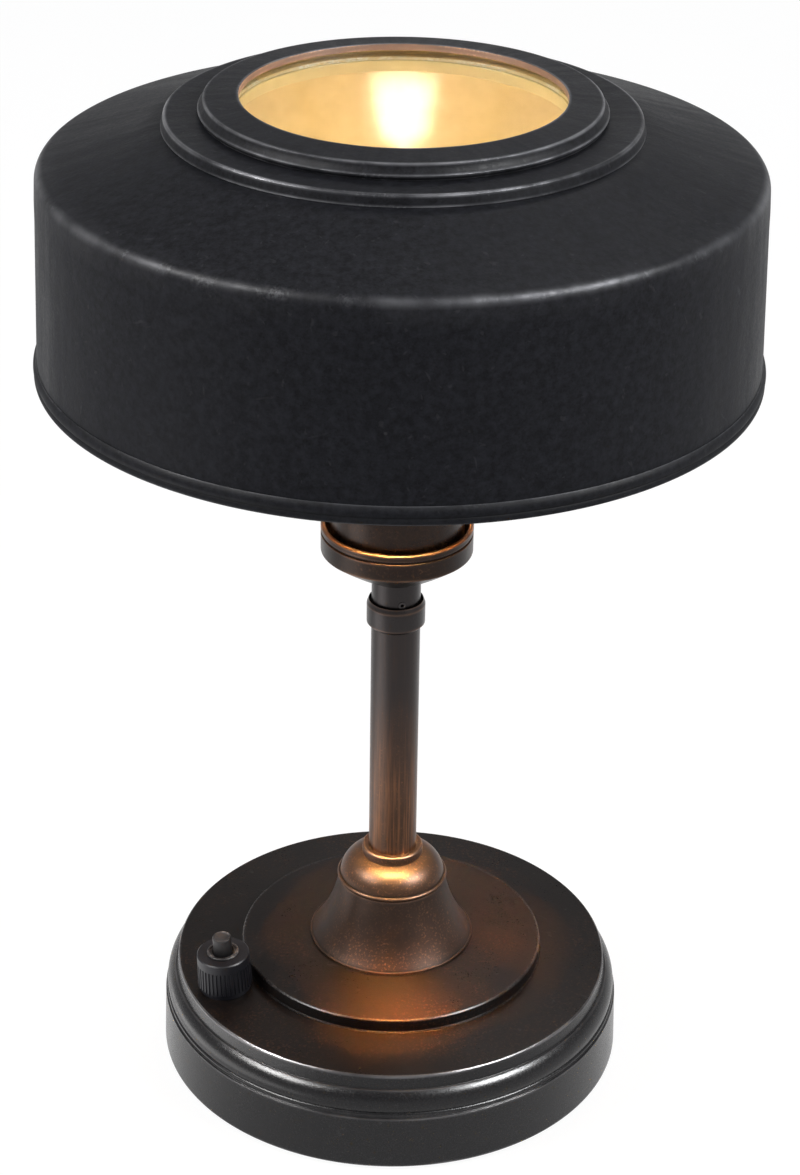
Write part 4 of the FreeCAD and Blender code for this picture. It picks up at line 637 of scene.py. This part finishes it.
# Pieces and nodes whose material isn't the one named after their record slot.
FINISHES = {
    "stem_tube_turned": "bronze_tube", "bell_foot_turned": "bronze_bell",
    "foot_dome_turned": "bronze_dome", "foot_ring_turned": "bronze_dome",
    "stem_collar_turned": "bronze_grey", "holder_cup_turned": "bronze_cup",
    # bulb_stem: the glass mount glows with painted light
    "neck_tube": "bronze_grey", "bulb_stem": "lit_mount",
    "top_disc_turned": "satin_paint", "hem_band_turned": "hem_paint",
    "switch_plunger_turned": "button_black", "switch_nut_turned": "button_black",
    # the lens gasket's pale colour is painted warm light
    "switch_bushing_turned": "button_black", "lens_gasket_turned": "clear_seal",
}


def dress(piece, slot, body="lamp", extra=()):
    """Give a new piece its materials, its record slot and the body it rides on."""
    for name in (FINISHES.get(piece.name, slot), *extra):
        piece.data.materials.append(MATERIALS[name])
    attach(piece, body)
    return piece


# ---------------------------------------------------------------- turned pieces

# node: (record slot, corner radius in mm, segments)
TURNED = {
    "top_disc": ("base_paint", 0.22, 256),
    "base_pad": ("felt", 0.7, 192),
    "bell_foot": ("bronze", 0.25, 192),
    "foot_dome": ("bronze", 0.25, 160),
    "foot_ring": ("bronze", 0.25, 128),
    "stem_tube": ("bronze", 0.2, 128),
    "stem_collar": ("bronze", 0.3, 128),
    "holder_cup": ("bronze", 0.3, 192),
    "holder_sleeve": ("bronze", 0.3, 192),
    "lampholder_skirt": ("holder_black", 0.4, 160),
    "shade_ring": ("holder_black", 0.4, 160),
    "hem_band": ("shade_paint", 0.4, 320),
}
SHADE_SEGMENTS = 320
SHADE_CREST = (148.9, 433.4, 2.4, 0.55)  # r, z and width of the rubbed shoulder in mm, amount; its lighter band is partly wear and partly a painted highlight
GLASS_TOP = max(v.co.z for v in nodes["glass_lens"].data.vertices) / MM
FLANGE_CREAM_RADIUS = 72  # the flange is cream inside this radius, in mm, under the bezel
BEZEL_CREAM_RADIUS = 74  # the underside of the bezel is cream inside this radius, in mm
PLATE_RADIUS = 100.2  # the flat top of the base ends here, in mm
FLAT_SLOPE = 0.3  # the steepest slope of that top

for node, (slot, radius, around) in TURNED.items():
    dress(revolve(node + "_turned", node, radius=radius, around=around), slot)


def shade_side(point, out_r, out_z):
    """0 for the black outside, 1 for the cream inside of the shade."""
    return 1 if out_r + out_z < 0 else 0


def flange_side(point, out_r, out_z):
    """0 for the black outside, 1 for the cream bore and what lies under the bezel."""
    return 1 if out_r < 0 or point[0] < FLANGE_CREAM_RADIUS else 0


def bezel_side(point, out_r, out_z):
    """0 outside, 1 for the lip above the glass, coloured in painted warm light from inside the shade, 2 for the
    cream wall behind the glass.
    """
    if out_r >= -abs(out_z):
        return 0 if out_z >= 0 or point[0] > BEZEL_CREAM_RADIUS else 2
    return 1 if point[1] > GLASS_TOP - 0.1 else 2


def base_side(point, out_r, out_z):
    """0 for the moulded side, 1 for the flat top of the base."""
    flat = out_z > 0 and abs(out_r) < FLAT_SLOPE * out_z
    return 1 if flat and point[0] < PLATE_RADIUS else 0


dress(revolve("shade_shell_spun", "shade_shell", radius=0.5, around=SHADE_SEGMENTS,
              sides=shade_side, crest=SHADE_CREST), "shade_paint", extra=("cream",))
dress(revolve("cap_flange_turned", "cap_flange", radius=0.3, around=SHADE_SEGMENTS,
              sides=flange_side), "shade_paint", extra=("cream",))
# the lip above the glass takes a colour that paints in warm light from inside the shade
dress(revolve("glass_bezel_turned", "glass_bezel", radius=0.25, around=256,
              sides=bezel_side), "shade_paint", extra=("bare_lip", "cream"))
# the gasket's colour in FINISHES paints in warm light
dress(revolve("lens_gasket_turned", "lens_gasket", radius=0.3, around=192), "rubber")
dress(revolve("base_turned", "base_casting", radius=0.4, around=SHADE_SEGMENTS,
              sides=base_side), "base_paint", extra=("satin_paint",))
dress(revolve("glass_disc", "glass_lens", radius=0.5, around=192), "clear_glass")
dress(revolve("bulb_glass", "bulb_envelope", radius=0.3, around=128), "clear_glass")


# ---------------------------------------------------------------- switch

joint = frame["joints"][0]
press = -Vector(joint["axis"])
SWITCH_SEGMENTS = 96
SPRING_WIRE = 0.35  # radius of the wire, in mm
SPRING_TURNS = 5
CLOSED_TURNS = 0.8  # turns at each end that lie nearly flat
CLOSED_PITCH = 2.3  # climb of a closed turn, in wire radii
TURN_STEPS = 40
WIRE_RESOLUTION = 3


def switch_place():
    """Frame of the switch: on the sloping plate, Z along the button, X away from the stem."""
    yaw = math.atan2(press.y, press.x)
    tip = math.atan2(math.hypot(press.x, press.y), press.z)
    turn = Matrix.Rotation(yaw, 4, "Z") @ Matrix.Rotation(tip, 4, "Y")
    across = [turn.inverted() @ v.co for v in nodes["switch_washer"].data.vertices]
    low = [min(p[i] for p in across) for i in range(3)]
    high = [max(p[i] for p in across) for i in range(3)]
    middle = Vector(((low[0] + high[0]) / 2, (low[1] + high[1]) / 2, low[2]))
    return Matrix.Translation(turn @ middle) @ turn


SWITCH = switch_place()

for node, slot, radius, body in (("switch_washer", "switch_black", 0.3, "lamp"),
                                 ("switch_bushing", "gunmetal", 0.15, "lamp"),
                                 ("switch_nut", "gunmetal", 0.25, "lamp"),
                                 ("switch_plunger", "gunmetal", 0.25, "switch_button")):
    dress(revolve(node + "_turned", node, SWITCH, radius, SWITCH_SEGMENTS), slot, body)


def spring_climb(share, rise):
    """Height of the wire at this share of its turns, with closed turns at both ends."""
    shut = CLOSED_TURNS / SPRING_TURNS
    pitch = CLOSED_PITCH * SPRING_WIRE * MM * CLOSED_TURNS
    if share < shut:
        return pitch * share / shut
    if share > 1 - shut:
        return rise - pitch * (1 - share) / shut
    return pitch + (rise - 2 * pitch) * (share - shut) / (1 - 2 * shut)


def wind_spring(name, node):
    """Compression spring in place of the node's coil; gives the piece, its foot and height."""
    wire = SPRING_WIRE * MM
    points = [SWITCH.inverted() @ v.co for v in nodes[node].data.vertices]
    low, high = min(p.z for p in points), max(p.z for p in points)
    reach = max(math.hypot(p.x, p.y) for p in points) - wire
    curve = bpy.data.curves.new(name, "CURVE")
    curve.dimensions = "3D"
    curve.bevel_depth = wire
    curve.bevel_resolution = WIRE_RESOLUTION
    curve.use_fill_caps = True
    spline = curve.splines.new("POLY")
    spline.points.add(SPRING_TURNS * TURN_STEPS)
    for index, point in enumerate(spline.points):
        share = index / (SPRING_TURNS * TURN_STEPS)
        angle = math.tau * SPRING_TURNS * share
        climb = low + wire + spring_climb(share, high - low - 2 * wire)
        spot = SWITCH @ Vector((reach * math.cos(angle), reach * math.sin(angle), climb))
        point.co = (*spot, 1)
    wound = add_object(name + "_path", curve)
    bpy.context.view_layer.update()
    ready = wound.evaluated_get(bpy.context.evaluated_depsgraph_get())
    mesh = bpy.data.meshes.new_from_object(ready)
    bpy.data.objects.remove(wound)
    bpy.data.curves.remove(curve)
    mesh.name = name
    for face in mesh.polygons:
        face.use_smooth = True
    piece = add_object(name, mesh)
    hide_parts(node)
    return piece, SWITCH @ Vector((0, 0, low)), high - low


spring_piece, spring_foot, spring_height = wind_spring("switch_spring_coil", "switch_spring")
dress(spring_piece, "spring_steel")
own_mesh(spring_piece)


# ---------------------------------------------------------------- nodes that stay

for name, slot in ((s["node"], s["material_slot"]) for s in frame["record"]["subparts"]):
    node = nodes[name]
    if not node.hide_render:
        node.data.materials.clear()
        node.data.materials.append(MATERIALS[FINISHES.get(name, slot)])


# ---------------------------------------------------------------- camera, floor, world

CAMERA_PLACE = (0, -1.1104, 0.8252)
CAMERA_YAW, CAMERA_PITCH, CAMERA_ROLL = (math.radians(angle) for angle in (0.084, 27.891, 0.91))
FOCAL_PIXELS, PHOTO_HEIGHT = 2850.1, 1175
SENSOR = 36
CLIP_START = 0.05
FLOOR_RADIUS = 9
FLOOR_CORNERS = 64
SOFT_STRENGTH = 0.28  # of the world, as it lights the object
SEEN_LOW, SEEN_HIGH = 0.95, 0.43  # of the world as it is seen, at the horizon and high up
SEEN_RISE = 0.42  # height of the direction from which the world is seen at its high strength
FLOOR_WHITE = 1.1  # strength of the white that shows instead of the lit floor
FLOOR_WHITE_SHARE = 0.84  # the rest is the lit floor, with the object's shadow


def make_camera():
    """The photograph's viewpoint and field of view."""
    yaw, pitch, roll = CAMERA_YAW, CAMERA_PITCH, CAMERA_ROLL
    ahead = Vector((math.sin(yaw) * math.cos(pitch), math.cos(yaw) * math.cos(pitch),
                    -math.sin(pitch)))
    right = Vector((math.cos(yaw), -math.sin(yaw), 0))
    up = right.cross(ahead)
    side = right * math.cos(roll) + up * math.sin(roll)
    top = up * math.cos(roll) - right * math.sin(roll)
    data = bpy.data.cameras.new("camera")
    data.sensor_fit = "VERTICAL"
    data.sensor_height = SENSOR
    data.lens = FOCAL_PIXELS * SENSOR / PHOTO_HEIGHT
    data.clip_start = CLIP_START
    camera = add_object("camera", data)
    turned = Matrix((side, top, -ahead)).transposed().to_4x4()
    camera.matrix_world = Matrix.Translation(CAMERA_PLACE) @ turned
    bpy.context.scene.camera = camera


def make_floor():
    """Pale floor, seen nearly white, that keeps the object's shadow."""
    mesh = bpy.data.meshes.new("floor")
    angles = [math.tau * k / FLOOR_CORNERS for k in range(FLOOR_CORNERS)]
    corners = [(FLOOR_RADIUS * math.cos(a), FLOOR_RADIUS * math.sin(a), 0) for a in angles]
    mesh.from_pydata(corners, [], [list(range(FLOOR_CORNERS))])
    floor = add_object("floor", mesh)
    t = new_tree("floor")
    grain = t.levels(t.noise(30, 3, 0.5), 0.3, 0.7)
    pale = t.mix(grain, (0.80, 0.80, 0.80), (0.82, 0.82, 0.82))
    lit = t.add("ShaderNodeBsdfDiffuse", {"Color": pale}).outputs[0]
    white = t.add("ShaderNodeEmission", {"Color": (1, 1, 1), "Strength": FLOOR_WHITE}).outputs[0]
    share = t.times(t.seen_rays(), FLOOR_WHITE_SHARE)
    floor.data.materials.append(t.surface(t.blend(share, lit, white)))


def make_world():
    """Soft pale light, and for the rays that show the background a white that dims upwards."""
    world = bpy.data.worlds.new("studio")
    scene.world = world
    t = Tree(world, "ShaderNodeOutputWorld")
    soft = t.add("ShaderNodeBackground", {"Color": (0.92, 0.95, 1.0),
                                          "Strength": SOFT_STRENGTH}).outputs[0]
    direction = t.add("ShaderNodeTexCoord").outputs["Generated"]
    upward = t.add("ShaderNodeSeparateXYZ", {0: direction}).outputs[2]
    strength = t.levels(upward, 0.0, SEEN_RISE, SEEN_LOW, SEEN_HIGH)
    white = t.add("ShaderNodeBackground", {"Color": (1, 1, 1), "Strength": strength}).outputs[0]
    t.surface(t.blend(t.seen_rays(), soft, white))


make_camera()
make_floor()
make_world()


# ---------------------------------------------------------------- lights

WARM_WHITE, PLAIN, COOL_WHITE = (1.0, 0.99, 0.98), (1, 1, 1), (0.98, 0.99, 1.0)
WARM = (1.0, 0.60, 0.26)
GOLD = (1.0, 0.72, 0.30)
AMBER = (1.0, 0.36, 0.07)
AIM_HEIGHT = 0.15  # the softboxes look at this height on the axis
GLINT_AT = (-0.503, -0.183)  # on the floor, in front and to the left
GLINT_HEIGHT = 0.0006
GLINT_SIZE = (0.77, 0.30)
GLINT_RADIANCE = 2.3
GLINT_YAW = math.radians(20)
RIM_HEIGHT = 0.347  # of the small lamps inside the shade, near its lower rim
POOL_HEIGHT = 0.346  # of the lamps that make the pools of light on the foot
GLOW_HEIGHT = 0.344  # of the wide lamps inside the shade
RING_LAMP_SIZE = (0.05, 0.04)


def area_light(name, place, target, size, power, colour, shape="RECTANGLE", spread=180):
    """An area lamp at place that faces target, with its spread in degrees."""
    data = bpy.data.lights.new(name, "AREA")
    data.shape = shape
    data.size = size[0]
    if shape in ("RECTANGLE", "ELLIPSE"):
        data.size_y = size[1]
    data.energy = power
    data.color = colour
    data.spread = math.radians(spread)
    lamp = add_object(name, data)
    lamp.location = place
    lamp.rotation_euler = (Vector(target) - Vector(place)).to_track_quat("-Z", "Y").to_euler()
    lamp.visible_camera = False
    return lamp


def power_of(radiance, size):
    """Power in watts of an area lamp of this radiance."""
    return radiance * math.pi * size[0] * size[1]


def softbox(name, azimuth, elevation, away, size, radiance, colour):
    """A softbox that looks at the lamp; azimuth from the camera's side to +X, in degrees."""
    a, e = math.radians(azimuth), math.radians(elevation)
    place = (away * math.sin(a) * math.cos(e), -away * math.cos(a) * math.cos(e),
             AIM_HEIGHT + away * math.sin(e))
    return area_light(name, place, (0, 0, AIM_HEIGHT), size, power_of(radiance, size), colour)


def gloss_only(lamp):
    """A lamp that shows in the sheen of surfaces and adds no light to their colour."""
    lamp.visible_diffuse = False
    lamp.visible_transmission = False
    return lamp


def rim_lamp(name, around, reach, aim, power, colour, spread=180):
    """A small lamp at the rim inside the shade, aimed at a height on the axis, gloss only."""
    angle = math.radians(around)
    place = (reach * math.cos(angle), reach * math.sin(angle), RIM_HEIGHT)
    return gloss_only(area_light(name, place, (0, 0, aim), RING_LAMP_SIZE, power, colour,
                                 spread=spread))


def down_lamp(name, place, size, power, shape, spread=180):
    """An amber lamp inside the shade that shines straight down."""
    return area_light(name, place, (place[0], place[1], 0), size, power, AMBER, shape, spread)


def bulb_light(name, place, power, radius):
    """The bulb's own light, seen neither by the camera nor in gloss."""
    data = bpy.data.lights.new(name, "POINT")
    data.energy = power
    data.color = WARM
    data.shadow_soft_size = radius
    lamp = add_object(name, data)
    lamp.location = place
    lamp.visible_camera = False
    lamp.visible_glossy = False


# name, azimuth, elevation, distance, size, radiance, colour
softbox("softbox_left", -75, 42, 2.1, (0.80, 0.60), 11, (1.0, 0.99, 0.97))
softbox("softbox_right", 66, 42, 2.1, (0.70, 0.60), 11, (0.97, 0.98, 1.0))
floor_glint = gloss_only(area_light("floor_glint", (*GLINT_AT, GLINT_HEIGHT), (*GLINT_AT, 1),
                                    GLINT_SIZE, power_of(GLINT_RADIANCE, GLINT_SIZE), WARM_WHITE))
floor_glint.rotation_euler = (math.pi, 0, GLINT_YAW)
softbox("softbox_behind", 165, 50, 2.1, (0.6, 0.4), 6, PLAIN)
gloss_only(softbox("glint_left", -64, 44, 2.0, (0.85, 0.40), 60, WARM_WHITE))
gloss_only(softbox("glint_right", 62, 44, 2.0, (0.75, 0.40), 115, COOL_WHITE))
for k, around in enumerate((90, 30, 150, 0, 180)):
    rim_lamp(f"shade_glow_{k}", around, 0.118, 0.03, 0.045, AMBER)
for k, (around, power) in enumerate(((-90, 0.054), (-25, 0.060), (-155, 0.060))):
    rim_lamp(f"foot_glow_{k}", around, 0.054, 0.094, power, GOLD, spread=12)
down_lamp("shade_glow", (0, 0, GLOW_HEIGHT), (0.20, 0.20), 0.20, "DISK")
down_lamp("shade_halo", (0.013, 0, GLOW_HEIGHT), (0.125, 0.125), 0.38, "DISK", 6)
down_lamp("shade_pool", (0, -0.060, POOL_HEIGHT), (0.045, 0.035), 0.095, "ELLIPSE", 9)
down_lamp("shade_side_pool", (0.050, -0.010, POOL_HEIGHT), (0.028, 0.028), 0.009, "ELLIPSE", 9)
bulb_light("bulb_light", place=(0, 0, 0.349), power=0.10, radius=0.012)

scene.view_settings.view_transform = "Standard"
